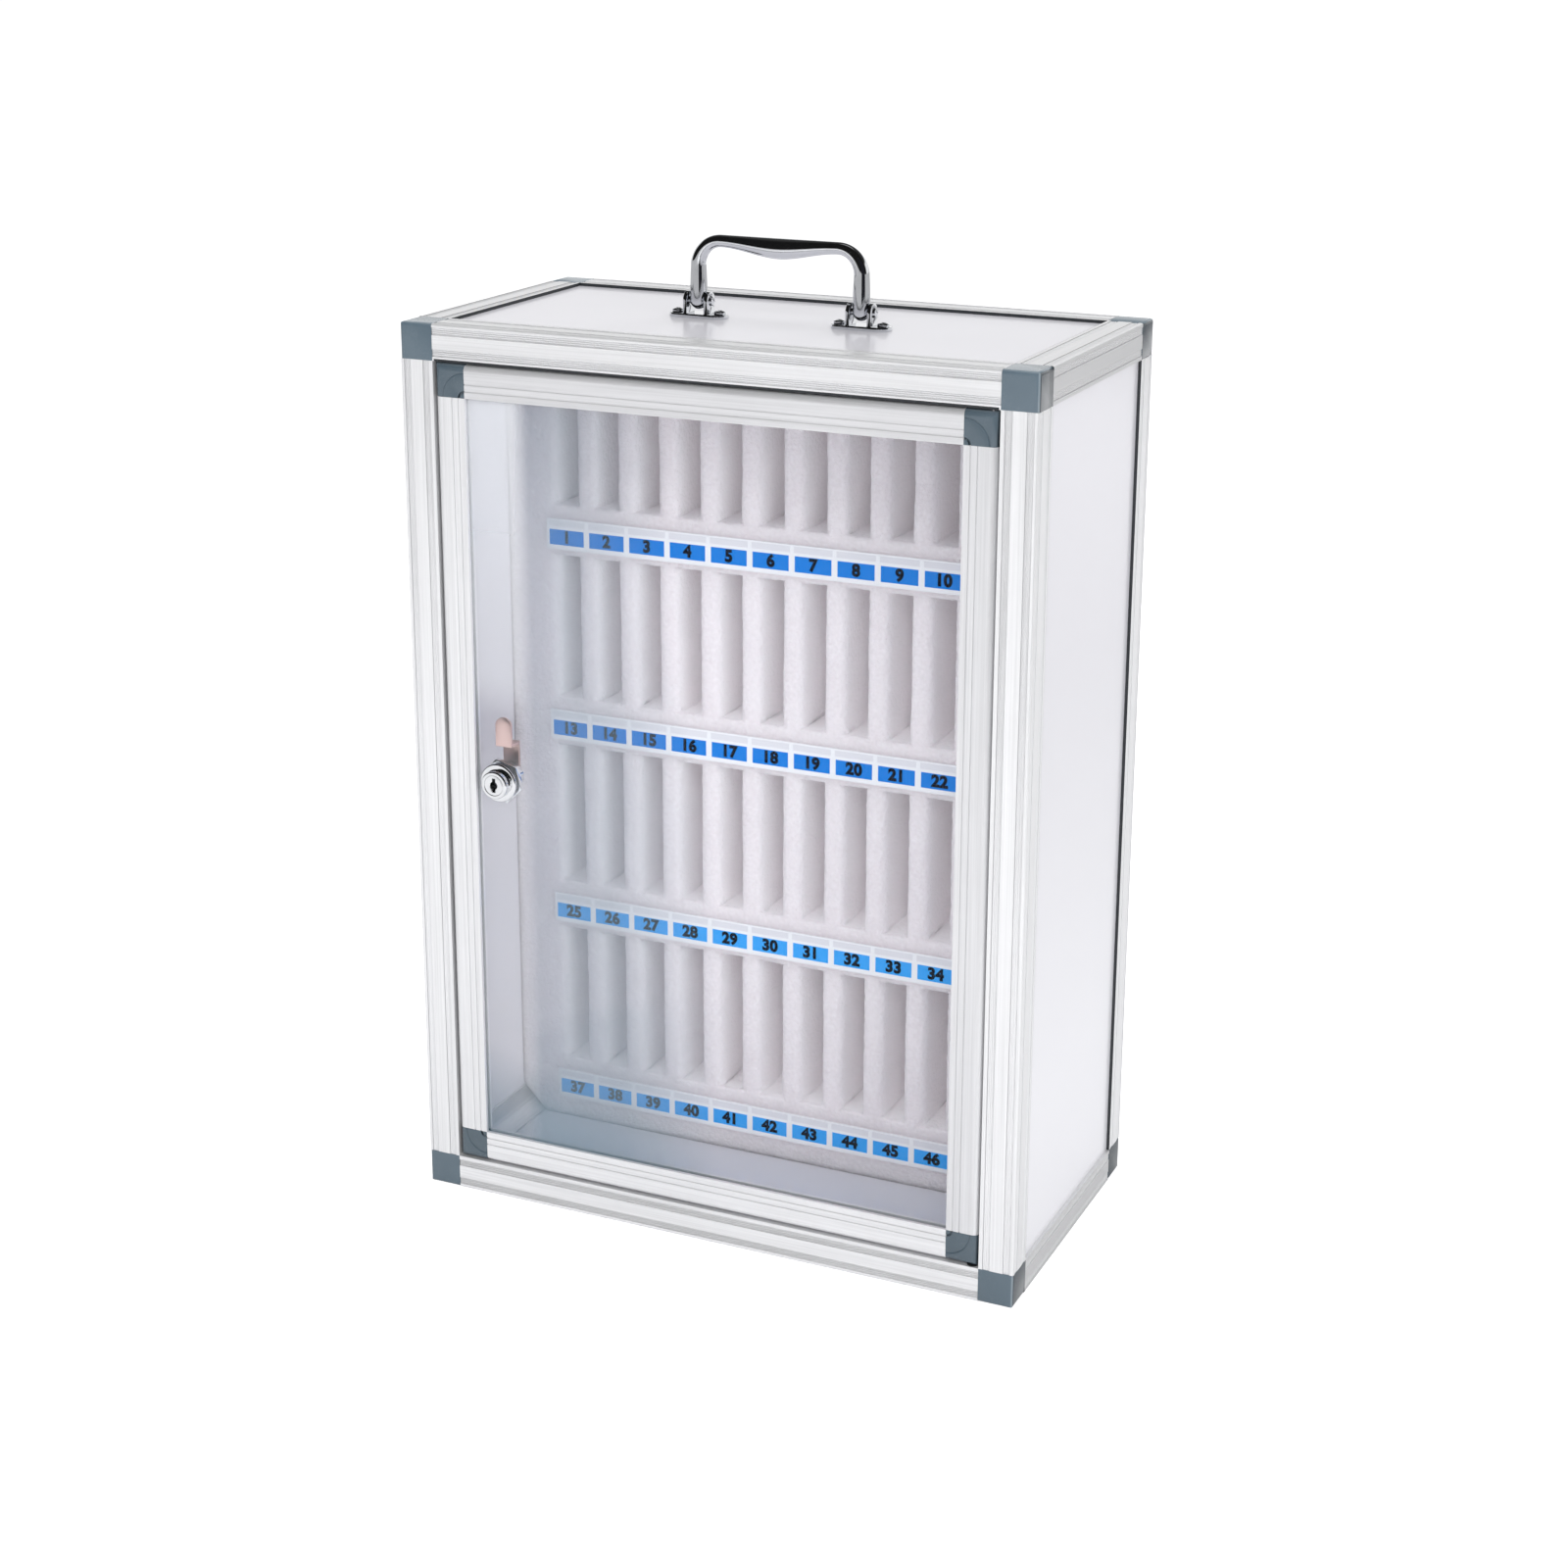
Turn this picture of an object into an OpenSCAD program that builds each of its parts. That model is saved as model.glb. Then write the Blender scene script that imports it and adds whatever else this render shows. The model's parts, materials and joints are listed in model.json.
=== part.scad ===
// Locker box for mobile phones: an aluminium framed case with a foam rack inside,
// a glazed door with a cam lock, and a folding carry handle on top.
// Origin: centre of the case's footprint, on the surface that it stands on.
// +Z is up, and the door is on the -Y side. Millimetres.

/* [Case] */
// Width of the case across its front
case_w = 400; // [390:5:480]
// Depth of the case from front to back
case_d = 205; // [195:5:260]
// Height of the case without its handle
case_h = 560; // [555:5:640]
// Width of each face of the edge extrusions
edge_w = 22; // [21:0.5:25]
// Radius on the outer edge of the extrusions
edge_round = 1.2; // [0.6:0.2:1.8]
// Wall between the faces of an extrusion and its hollows
edge_skin = 2; // [1.8:0.1:2.2]
// Side of the square hollow that takes the corner tenons
core_w = 8; // [7:0.5:9]
// Width of each ribbed groove along the extrusions
groove_w = 4.4; // [3:0.2:5]
// Depth of the ribbed grooves
groove_depth = 0.6; // [0.3:0.1:0.8]
// Distance from an outer edge to the first ribbed groove
groove_inset = 2.4; // [2:0.2:3]
// Ribs in each groove
groove_ribs = 4; // [2:1:6]
// Rounding of the plastic corner blocks
corner_round = 2.4; // [1:0.2:4]
// Length of the tenons on the corner blocks
tenon_len = 14; // [8:1:24]

/* [Panels] */
// Thickness of the case panels
panel_t = 4; // [3:0.5:5]
// How far the panels lie behind the faces of the extrusions
panel_recess = 2; // [1.5:0.5:2.5]
// How deep the panels sit in their slots
panel_grip = 8; // [6:0.5:8]

/* [Door] */
// Gap between the door and the case frame
door_gap = 1; // [0.8:0.1:1.5]
// Width of the faces of the door frame
door_face = 20; // [18:0.5:24]
// Thickness of the door frame
door_t = 8; // [7.5:0.5:8.5]
// Thickness of the clear pane
pane_t = 3; // [2:0.5:3.5]
// How far the pane lies behind the front of the door
pane_recess = 2.2; // [1.8:0.1:2.6]
// How deep the pane sits in the door frame
pane_grip = 7; // [5:0.5:7.5]
// Radius of the hinge pins
pin_r = 1.5; // [1:0.1:1.7]
// Length of each hinge pin inside its door corner
pin_in_door = 12; // [8:1:16]
// Length of the hinge bushes below their flange
bush_len = 7; // [4:0.5:7.5]

/* [Lock] */
// Distance from the outer edge of the door to the lock's axis
lock_inset = 35; // [32:0.1:42]
// Radius of the lock's flange, which lies on the pane
flange_r = 12.2; // [11:0.1:12.5]
// Thickness of the lock's flange
flange_t = 1.6; // [1:0.1:2.4]
// Radius of the lock's head
head_r = 8.8; // [8:0.1:9.2]
// How far the head stands out from the flange
head_t = 5.2; // [3:0.2:7]
// Radius of the threaded lock barrel
barrel_r = 9.3; // [8.5:0.1:9.8]
// Length of the lock barrel behind the pane
barrel_len = 12; // [12:1:30]
// Radius of the turning lock core
core_r = 6.4; // [5:0.1:7]
// Width of the cam
cam_w = 11; // [9:0.5:13]
// Thickness of the cam
cam_t = 1.8; // [1.2:0.2:2]
// Height of the cam's crank above the lock's axis
crank_up = 21; // [19:0.5:23]
// How far the cam reaches into the frame when locked
strike_reach = 3.7; // [2:0.1:5]

/* [Foam rack] */
// Distance from the middle of the case back to the face of the foam
foam_setback = 9.5; // [8:0.5:15]
// Thickness of the foam sheet behind the slots
foam_back_t = 7; // [4:1:15]
// Columns of slots
slot_columns = 12; // [6:1:12]
// Distance between the middles of neighbouring slots
slot_pitch = 28.5; // [26:0.5:29]
// Width of a slot
slot_w = 14; // [10:0.5:18]
// Height of a slot
slot_h = 94; // [88:1:96]
// Height of the lowest slots above the floor panel
slot_lift = 43; // [38:1:45]
// Height of the foam above the highest slots
top_band = 30; // [26:1:34]
// How far the middle of the slots lies to the right of the middle of the case
slot_shift = 5; // [-6:1:6]
// Height of the label strips
label_h = 20; // [16:1:22]
// Distance from the bottom of a slot to its label strip
label_drop = 9; // [6:1:10]
// Thickness of the label strips
label_t = 0.8; // [0.4:0.1:1.5]
// Height of the coloured bar on a label
bar_h = 10; // [6:1:12]
// Width of the coloured bar on a label
bar_w = 24.5; // [18:0.5:25.5]

/* [Handle] */
// Distance between the middles of the handle's legs
handle_span = 106; // [90:1:130]
// Height of the handle's top above its pivots
handle_rise = 40; // [34:1:50]
// Diameter of the handle's legs
leg_d = 10.5; // [9:0.5:11]
// Diameter where the legs bend into the grip
bend_d = 7.4; // [6:0.2:9]
// Height of the grip at its middle
grip_d = 12.4; // [10:0.2:14]
// Radius of the handle's bends, at their middle line
bend_r = 15; // [12:0.5:20]
// Height of the pivots above the top panel
pivot_up = 10; // [9:0.5:12]
// Length of a handle bracket
bracket_l = 38; // [36:1:46]
// Width of a handle bracket
bracket_w = 14; // [12:0.5:18]
// Thickness of the bracket's plate and ears
bracket_t = 2.4; // [2:0.1:3]
// Radius of the handle's pivot pins
pivot_r = 2; // [1.5:0.1:2.5]
// Distance between the screws of one bracket
screw_span = 28; // [26:0.5:32]
// Radius of the bracket screws
screw_r = 1.9; // [1.5:0.1:2]
// Radius of the screw heads
screw_head_r = 3.6; // [3:0.1:4]

/* [Hidden] */
$fn = 48;
// A cut runs this far past the face that it opens
over = 1;
// Radial clearance of pins, screws and the lock core in their holes
run_gap = 0.05;
// Clearance of sheets and tenons in their slots and hollows
slide_gap = 0.2;
// Clearance where parts pass each other
pass_gap = 0.5;
// Clearance of the foam from the extrusions
foam_gap = 0.3;
// Clearance of the closed door from its stop
rest_gap = 0.3;

// Rows of slots, each with its own foam and label nodes
slot_rows = 4;

slot_t = panel_t + slide_gap;
slot_depth = panel_grip + over;
inner_lip = 1.2;
// Height of a groove's ribs, as a share of its depth left above them
rib_crest = 0.3;
panel_in = panel_recess + panel_t;
lip_edge = panel_recess + slot_t + inner_lip;
cove_r = edge_w - lip_edge;
// Panel edges lie this far inside the outer faces
panel_edge = edge_w - panel_grip;
second_groove = edge_w - groove_inset - groove_w;

// Depth of the plain face of the front extrusions, which the door closes against
jamb_d = 15;
jamb_wall = 1.6;
stop_reach = 3.5;
stop_t = 1.5;

front_y = -case_d / 2;
door_x = case_w / 2 - edge_w - door_gap;
door_z0 = edge_w + door_gap;
door_z1 = case_h - edge_w - door_gap;
door_h = door_z1 - door_z0;
hinge_in = door_t / 2;
hinge_x = door_x - hinge_in;
hinge_y = front_y + hinge_in;
bush_wall = 0.8;
bush_r = pin_r + bush_wall;
bush_flange_r = bush_r + 1.1;
bush_flange_t = 0.6;
pane_slot_t = pane_t + slide_gap;
door_wall = 1.8;
door_core_w = door_face - pane_grip - over - 2 * edge_skin;
door_core_t = door_t - 2 * door_wall;

lock_x = -door_x + lock_inset;
lock_z = case_h / 2;
pane_y = front_y + pane_recess;
lock_face_y = pane_y - flange_t - head_t;
barrel_end_y = pane_y + pane_t + barrel_len;
nut_t = 3.6;
nut_r = barrel_r + 4.9;
// How far the nut is screwed round from standing on a flat
nut_turn = 15;
cam_gap = 0.8;
cam_tip_y = front_y + door_t + cam_gap;
cam_root_y = barrel_end_y + pass_gap;
cam_reach = lock_x + case_w / 2 - edge_w + strike_reach;
neck_w = 7;

foam_end_y = case_d / 2 - panel_in;
slot_end_y = foam_end_y - foam_back_t;
foam_y = foam_setback;
room_x = case_w / 2 - panel_in;
floor_z = panel_in;
ceiling_z = case_h - panel_in;
foam_chamfer = edge_w + lip_edge + foam_gap - 2 * panel_in;
row_pitch = (ceiling_z - floor_z - slot_lift - slot_h - top_band) / (slot_rows - 1);
slots_x0 = slot_shift - slot_columns * slot_pitch / 2;

panel_top_z = case_h - panel_recess;
pivot_z = panel_top_z + pivot_up;
ear_gap = 0.4;
ear_r = leg_d / 2 + 0.3;
pin_head_r = pivot_r + 1.2;
pin_head_t = 1.4;
screw_head_t = 2.4;
handle_nut_t = 3.2;
handle_nut_r = 4;

silver = [0.86, 0.87, 0.88];
slate = [0.42, 0.47, 0.5];
sheet_white = [0.93, 0.93, 0.95];
foam_white = [0.97, 0.97, 0.96];
chrome = [0.75, 0.76, 0.78];

// Points of one ribbed groove along a face, as [along the face, depth below it]
function groove_points(at) = let (pitch = groove_w / groove_ribs) [
  [at, 0],
  [at, groove_depth],
  for (i = [1 : groove_ribs]) each [
    [at + (i - 0.5) * pitch, groove_depth * rib_crest],
    [at + i * pitch, groove_depth]
  ],
  [at + groove_w, 0]
];

// The outer face of an extrusion, from its rounded outer edge inwards
function face_points() = concat(
  [for (a = [45 : 15 : 90]) edge_round * [1 - cos(a), 1 - sin(a)]],
  groove_points(groove_inset),
  groove_points(second_groove),
  [[edge_w, 0]]
);

// The slot for a panel, from the outer lip round to the inner lip
function slot_points() = [
  [edge_w, panel_recess],
  [edge_w - slot_depth, panel_recess],
  [edge_w - slot_depth, panel_recess + slot_t],
  [edge_w, panel_recess + slot_t],
  [edge_w, lip_edge]
];

function swapped(points) = [for (i = [len(points) - 1 : -1 : 0]) [points[i][1], points[i][0]]];

// Concave arc about the section's inner corner, from the far face back to the near one
function cove_points(radius) = [
  for (a = [5 : 10 : 85]) [edge_w - radius * sin(a), edge_w - radius * cos(a)]
];

// Section with a slot at both ends, for the sides and the back. Its outer corner is at the
// origin and its faces lie on the axes.
module edge_section() {
  side = concat(face_points(), slot_points());
  difference() {
    polygon(concat(side, cove_points(cove_r), swapped(side)));
    translate([edge_skin, edge_skin]) square(core_w);
  }
}

// Section round the door: a plain face towards the door, and one slot away from the front
module front_section() {
  jamb = concat(
    face_points(),
    [[edge_w, jamb_d]],
    cove_points(edge_w - jamb_d)
  );
  chamber_u = edge_skin + core_w + edge_skin;
  difference() {
    polygon(concat(jamb, swapped(concat(face_points(), slot_points()))));
    translate([edge_skin, edge_skin]) square(core_w);
    translate([chamber_u, jamb_wall])
      square([edge_w - jamb_wall - chamber_u, jamb_d - 2 * jamb_wall]);
  }
}

// Places the child at one of the case's corners: sx, sy and sz are -1 or 1 towards it.
// The child's own corner is at its origin, with the case in its positive octant.
module at_case_corner(sx, sy, sz) {
  translate([sx * case_w / 2, sy * case_d / 2, sz > 0 ? case_h : 0])
    mirror([sx > 0 ? 1 : 0, 0, 0])
      mirror([0, sy > 0 ? 1 : 0, 0])
        mirror([0, 0, sz > 0 ? 1 : 0])
          children();
}

// Extrusions, named by the direction in which they run
module upright(sx, sy) {
  at_case_corner(sx, sy, -1)
    translate([0, 0, edge_w])
      linear_extrude(case_h - 2 * edge_w)
        children();
}

module along_x(sy, sz) {
  at_case_corner(1, sy, sz)
    translate([case_w - edge_w, 0, 0])
      rotate([0, -90, 0])
        linear_extrude(case_w - 2 * edge_w)
          children();
}

module along_y(sx, sz) {
  at_case_corner(sx, 1, sz)
    translate([0, case_d - edge_w, 0])
      rotate([90, 0, 0])
        linear_extrude(case_d - 2 * edge_w)
          children();
}

// The lock side's post carries the door stop and the slot that the cam locks into
module post_lock_side() {
  stop_y = front_y + door_t + rest_gap;
  face_x = -case_w / 2 + edge_w;
  face_reach = lock_x - face_x;
  strike_z0 = lock_z - cam_w / 2 - pass_gap;
  difference() {
    union() {
      upright(-1, -1) front_section();
      translate([face_x - jamb_wall / 2, stop_y, edge_w])
        cube([stop_reach + jamb_wall / 2, stop_t, case_h - 2 * edge_w]);
    }
    translate([face_x - jamb_wall - over, cam_tip_y - pass_gap, strike_z0])
      cube([jamb_wall + 2 * over, cam_t + 2 * pass_gap, strike_top(face_reach) - strike_z0]);
    translate([face_x, stop_y - over, strike_z0])
      cube([stop_reach + over, stop_t + 2 * over, strike_top(face_reach - stop_reach) - strike_z0]);
  }
}

// Height at which the turning cam first passes an upright plane, this far to the lock's left
function strike_top(plane) = let (tip = norm([cam_reach, cam_w / 2]))
  lock_z + sqrt(tip * tip - plane * plane) + pass_gap;

module rail_with_bush_hole(sz) {
  z = sz > 0 ? case_h - edge_w : edge_w;
  difference() {
    along_x(-1, sz) front_section();
    translate([hinge_x, hinge_y, z]) cylinder(r = bush_r + run_gap, h = 4 * jamb_wall, center = true);
  }
}

// Corner block: a rounded cube with a tenon into each extrusion, cut where panels meet and
// hollowed towards the room. back is true on the corners that also hold the back panel.
module corner_block(back) {
  color(slate) {
    difference() {
      intersection() {
        linear_extrude(edge_w) rounded_corner_square();
        translate([0, edge_w, 0]) rotate([90, 0, 0]) linear_extrude(edge_w) rounded_corner_square();
        translate([edge_w, 0, 0]) rotate([0, -90, 0]) linear_extrude(edge_w) rounded_corner_square();
      }
      panel_cut([1, 0, 0]);
      panel_cut([0, 0, 1]);
      if (back) panel_cut([0, 1, 0]);
      translate([lip_edge, back ? lip_edge : jamb_d, lip_edge]) cube(edge_w);
    }
    tenon();
    mirror([1, -1, 0]) tenon();
    mirror([0, 1, -1]) tenon();
  }
}

module rounded_corner_square() {
  difference() {
    square(edge_w);
    difference() {
      square(corner_round);
      translate([corner_round, corner_round]) circle(corner_round);
    }
  }
}

// Where a panel's corner reaches into a corner block; normal is the panel's own direction
module panel_cut(normal) {
  start = edge_w - slot_depth;
  far = edge_w - start + over;
  translate([for (n = normal) n ? panel_recess : start])
    cube([for (n = normal) n ? slot_t : far]);
}

module tenon() {
  fit = slide_gap / 2;
  translate([edge_skin + fit, edge_w - over, edge_skin + fit])
    cube([core_w - 2 * fit, tenon_len + over, core_w - 2 * fit]);
}

module case_panel(low, size) {
  color(sheet_white) translate(low) cube(size);
}

module panel_top() {
  color(sheet_white) difference() {
    translate([panel_edge - case_w / 2, panel_edge + front_y, panel_top_z - panel_t])
      cube([case_w - 2 * panel_edge, case_d - 2 * panel_edge, panel_t]);
    for (sx = [-1, 1]) at_screws(sx) cylinder(r = screw_r + run_gap, h = 4 * panel_t, center = true);
  }
}

module side_panel(sx) {
  case_panel(
    [sx < 0 ? panel_recess - case_w / 2 : case_w / 2 - panel_in, panel_edge + front_y, panel_edge],
    [panel_t, case_d - 2 * panel_edge, case_h - 2 * panel_edge]
  );
}

// The room for the foam: the inside of the case with its edges cut off along the extrusions
module foam_room() {
  c = foam_chamfer;
  tall = ceiling_z - floor_z;
  deep = foam_end_y - foam_y;
  intersection() {
    translate([0, foam_end_y, floor_z])
      rotate([90, 0, 0])
        linear_extrude(deep)
          polygon([
            [-room_x + c, 0], [room_x - c, 0], [room_x, c], [room_x, tall - c],
            [room_x - c, tall], [-room_x + c, tall], [-room_x, tall - c], [-room_x, c]
          ]);
    translate([0, 0, floor_z])
      linear_extrude(tall)
        polygon([
          [-room_x, foam_y], [room_x, foam_y], [room_x, foam_end_y - c],
          [room_x - c, foam_end_y], [-room_x + c, foam_end_y], [-room_x, foam_end_y - c]
        ]);
    translate([-room_x, 0, 0])
      rotate([90, 0, 90])
        linear_extrude(2 * room_x)
          polygon([
            [foam_y, floor_z], [foam_end_y - c, floor_z], [foam_end_y, floor_z + c],
            [foam_end_y, ceiling_z - c], [foam_end_y - c, ceiling_z], [foam_y, ceiling_z]
          ]);
  }
}

function row_z(row) = floor_z + slot_lift + (slot_rows - row) * row_pitch;

module foam_back_sheet() {
  color(foam_white) intersection() {
    foam_room();
    translate([-room_x, slot_end_y, floor_z]) cube([2 * room_x, foam_back_t, ceiling_z - floor_z]);
  }
}

// Level bands above, between and below the rows of slots
module foam_bands() {
  bottoms = [floor_z, for (row = [slot_rows : -1 : 1]) row_z(row) + slot_h];
  tops = [for (row = [slot_rows : -1 : 1]) row_z(row), ceiling_z];
  color(foam_white) intersection() {
    foam_room();
    for (i = [0 : slot_rows])
      translate([-room_x, foam_y, bottoms[i]])
        cube([2 * room_x, slot_end_y - foam_y, tops[i] - bottoms[i]]);
  }
}

// The upright strips that part the slots of one row
module foam_row(row) {
  margin = (slot_pitch - slot_w) / 2;
  starts = [-room_x, for (i = [1 : slot_columns]) slots_x0 + i * slot_pitch - margin];
  ends = [for (i = [0 : slot_columns - 1]) slots_x0 + i * slot_pitch + margin, room_x];
  color(foam_white) intersection() {
    foam_room();
    for (i = [0 : slot_columns])
      translate([starts[i], foam_y, row_z(row)])
        cube([ends[i] - starts[i], slot_end_y - foam_y, slot_h]);
  }
}

// Card strip under a row, with a coloured bar for the number of each slot
module label_strip(row) {
  bar_up = 3;
  bar_t = 0.1;
  z = row_z(row) - label_drop - label_h;
  color("white")
    translate([slots_x0, foam_y - label_t, z]) cube([slot_columns * slot_pitch, label_t, label_h]);
  color([0.12, 0.53, 0.92])
    for (i = [0 : slot_columns - 1])
      translate([slots_x0 + (i + 0.5) * slot_pitch - bar_w / 2, foam_y - label_t - bar_t, z + bar_up])
        cube([bar_w, label_t, bar_h]);
}

// Section of the door frame, its outer edge at x 0 and its front at y 0
module door_section() {
  r = hinge_in;
  rear_step = 0.8;
  pane_start = door_face - pane_grip - over;
  fine_w = 0.8;
  fine_inset = 4.6;
  difference() {
    polygon([
      for (a = [0 : 15 : 90]) [r - r * cos(a), r - r * sin(a)],
      each fine_groove(pane_start - fine_w, fine_w),
      each fine_groove(door_face - fine_inset, fine_w),
      [door_face, 0],
      [door_face, pane_recess],
      [pane_start, pane_recess],
      [pane_start, pane_recess + pane_slot_t],
      [door_face, pane_recess + pane_slot_t],
      [door_face, door_t - rear_step],
      [pane_start, door_t - rear_step],
      [pane_start - rear_step, door_t],
      [0, door_t]
    ]);
    translate([edge_skin, (door_t - door_core_t) / 2]) square([door_core_w, door_core_t]);
  }
}

function fine_groove(at, width) = let (depth = 0.5)
  [[at, 0], [at, depth], [at + width, depth], [at + width, 0]];

// Places the child in the door's frame: origin at a corner of the door, the door in its
// positive X and Z, its front face at y 0
module at_door_corner(sx, sz) {
  translate([sx * door_x, front_y, sz > 0 ? door_z1 : door_z0])
    mirror([sx > 0 ? 1 : 0, 0, 0])
      mirror([0, 0, sz > 0 ? 1 : 0])
        children();
}

module door_stile(sx) {
  color(silver)
    at_door_corner(sx, -1)
      translate([0, 0, door_face])
        linear_extrude(door_h - 2 * door_face)
          door_section();
}

module door_rail(sz) {
  color(silver)
    at_door_corner(-1, sz)
      translate([2 * door_x - door_face, 0, 0])
        rotate([0, -90, 0])
          linear_extrude(2 * door_x - 2 * door_face)
            door_section();
}

// Outline of a door corner, seen along one of its two outer edges
module door_corner_outline() {
  r = hinge_in;
  difference() {
    square([door_face, door_t]);
    difference() {
      square(r);
      translate([r, r]) circle(r);
    }
  }
}

// Moulded corner of the door, with two arcs about its inner corner, and the hole for a
// hinge pin on the hinge side
module door_corner(hinge_side) {
  arc_r = 15.6;
  arc_w = 1.2;
  arc_cut = 0.5;
  slot_in = 3;
  slot_out = 4.4;
  slot_web = 0.6;
  pane_start = door_face - pane_grip - over;
  color(slate) {
    difference() {
      intersection() {
        linear_extrude(door_face) door_corner_outline();
        translate([door_face, 0, 0]) rotate([0, -90, 0]) linear_extrude(door_face) door_corner_outline();
      }
      translate([pane_start, pane_recess, pane_start])
        cube([pane_grip + 2 * over, pane_slot_t, pane_grip + 2 * over]);
      corner_groove() polygon([
        [arc_r - arc_w, over], [arc_r - arc_w, 0], [arc_r - arc_w / 2, -arc_cut], [arc_r, 0], [arc_r, over]
      ]);
      corner_groove() translate([slot_in, slot_web - pane_recess]) square([slot_out - slot_in, pane_recess]);
      if (hinge_side)
        translate([hinge_in, hinge_in, -over]) cylinder(r = pin_r + run_gap, h = pin_in_door + over);
    }
    door_tenon();
    mirror([1, 0, -1]) door_tenon();
  }
}

// Groove round the inner corner of a door corner; the child is its section, as
// [radius, height in front of the face]
module corner_groove() {
  translate([door_face, 0, door_face]) rotate([90, 0, 0]) rotate_extrude() children();
}

module door_tenon() {
  fit = slide_gap / 2;
  translate([edge_skin + fit, (door_t - door_core_t) / 2 + fit, door_face - over])
    cube([door_core_w - 2 * fit, door_core_t - 2 * fit, tenon_len + over]);
}

module door_pane() {
  inset = door_face - pane_grip;
  color([0.85, 0.92, 0.95, 0.35]) difference() {
    translate([-door_x + inset, pane_y, door_z0 + inset])
      cube([2 * (door_x - inset), pane_t, door_h - 2 * inset]);
    at_lock(pane_y - over) cylinder(r = barrel_r + run_gap, h = pane_t + 2 * over);
  }
}

module hinge_pins() {
  color(chrome)
    for (z = [door_z0 + pin_in_door, door_z1 + door_gap + bush_len])
      translate([hinge_x, hinge_y, z - pin_in_door - door_gap - bush_len])
        cylinder(r = pin_r, h = pin_in_door + door_gap + bush_len);
}

// Flanged bushes that the hinge pins turn in
module hinge_bushes() {
  color([0.2, 0.2, 0.22])
    for (sz = [-1, 1])
      translate([hinge_x, hinge_y, sz > 0 ? case_h - edge_w : edge_w])
        mirror([0, 0, sz > 0 ? 1 : 0])
          difference() {
            union() {
              translate([0, 0, -bush_len]) cylinder(r = bush_r, h = bush_len);
              cylinder(r = bush_flange_r, h = bush_flange_t);
            }
            translate([0, 0, -bush_len - over])
              cylinder(r = pin_r + run_gap, h = bush_len + bush_flange_t + 2 * over);
          }
}

// Places the child on the lock's axis, its own Z pointing back into the case
module at_lock(y) {
  translate([lock_x, y, lock_z]) rotate([-90, 0, 0]) children();
}

module lock_housing() {
  bevel = 0.6;
  depth = barrel_end_y - lock_face_y;
  color(chrome) at_lock(lock_face_y) difference() {
    union() {
      cylinder(r1 = head_r - bevel, r2 = head_r, h = bevel);
      translate([0, 0, bevel]) cylinder(r = head_r, h = head_t);
      translate([0, 0, head_t]) cylinder(r1 = flange_r - bevel, r2 = flange_r, h = bevel);
      translate([0, 0, head_t + bevel]) cylinder(r = flange_r, h = flange_t - bevel);
      translate([0, 0, head_t + flange_t - over]) cylinder(r = barrel_r, h = depth - head_t - flange_t + over);
    }
    translate([0, 0, -over]) cylinder(r = core_r + run_gap, h = depth + 2 * over);
  }
}

module lock_nut() {
  color(chrome) at_lock(pane_y + pane_t) difference() {
    rotate(nut_turn) cylinder(r = nut_r, h = nut_t, $fn = 6);
    translate([0, 0, -over]) cylinder(r = barrel_r + run_gap, h = nut_t + 2 * over);
  }
}

module lock_core() {
  key_w = 2.2;
  key_h = 9;
  key_r = 2.5;
  key_depth = 10;
  depth = cam_root_y - lock_face_y - slide_gap;
  color(chrome) at_lock(lock_face_y + slide_gap) difference() {
    union() {
      cylinder(r = core_r, h = depth);
      translate([-neck_w / 2, -neck_w / 2, depth - over]) cube([neck_w, neck_w, cam_t + over]);
    }
    translate([-key_w / 2, -key_h / 2, -over]) cube([key_w, key_h, key_depth + over]);
    translate([0, 0, -over]) cylinder(r = key_r, h = key_depth + over);
    translate([0, 0, depth + cam_t - key_depth]) cylinder(r = screw_r + run_gap, h = key_depth + over);
  }
}

// Flat cranked cam: its root sits on the core's neck, and its tip lies just behind the door
module lock_cam() {
  hole = neck_w + slide_gap;
  color([0.8, 0.66, 0.52]) {
    translate([lock_x, cam_root_y + cam_t, lock_z])
      rotate([90, 0, 0])
        linear_extrude(cam_t)
          difference() {
            union() {
              circle(cam_w / 2);
              translate([-cam_w / 2, 0]) square([cam_w, crank_up + cam_t]);
            }
            square(hole, center = true);
          }
    translate([lock_x - cam_w / 2, cam_tip_y, lock_z + crank_up])
      cube([cam_w, cam_root_y + cam_t - cam_tip_y, cam_t]);
    translate([lock_x, cam_tip_y + cam_t, lock_z])
      rotate([90, 0, 0])
        linear_extrude(cam_t)
          cam_tip_outline();
  }
}

module cam_tip_outline() {
  shoulder = cam_reach - cam_w / 2;
  translate([-cam_w / 2, crank_up]) square([cam_w, shoulder - crank_up]);
  translate([0, shoulder]) circle(cam_w / 2);
}

module cam_screw() {
  washer_r = 5.2;
  washer_t = 1;
  head_t = 2;
  shank = 8;
  color(chrome) at_lock(cam_root_y + cam_t) {
    translate([0, 0, -shank]) cylinder(r = screw_r, h = shank + washer_t);
    difference() {
      union() {
        cylinder(r = washer_r, h = washer_t);
        cylinder(r = screw_head_r, h = washer_t + head_t);
      }
      for (turn = [0, 90]) rotate(turn) driver_slot(washer_t + head_t);
    }
  }
}

// One bar of a cross recess, cut down from the height top
module driver_slot(top) {
  width = 0.9;
  depth = 1.2;
  translate([-screw_head_r / 2, -width / 2, top - depth]) cube([screw_head_r, width, depth + over]);
}

// Places the child at both screws of one bracket, on the top panel's face
module at_screws(sx) {
  for (side = [-1, 1])
    translate([sx * handle_span / 2 + side * screw_span / 2, 0, panel_top_z]) children();
}

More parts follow.
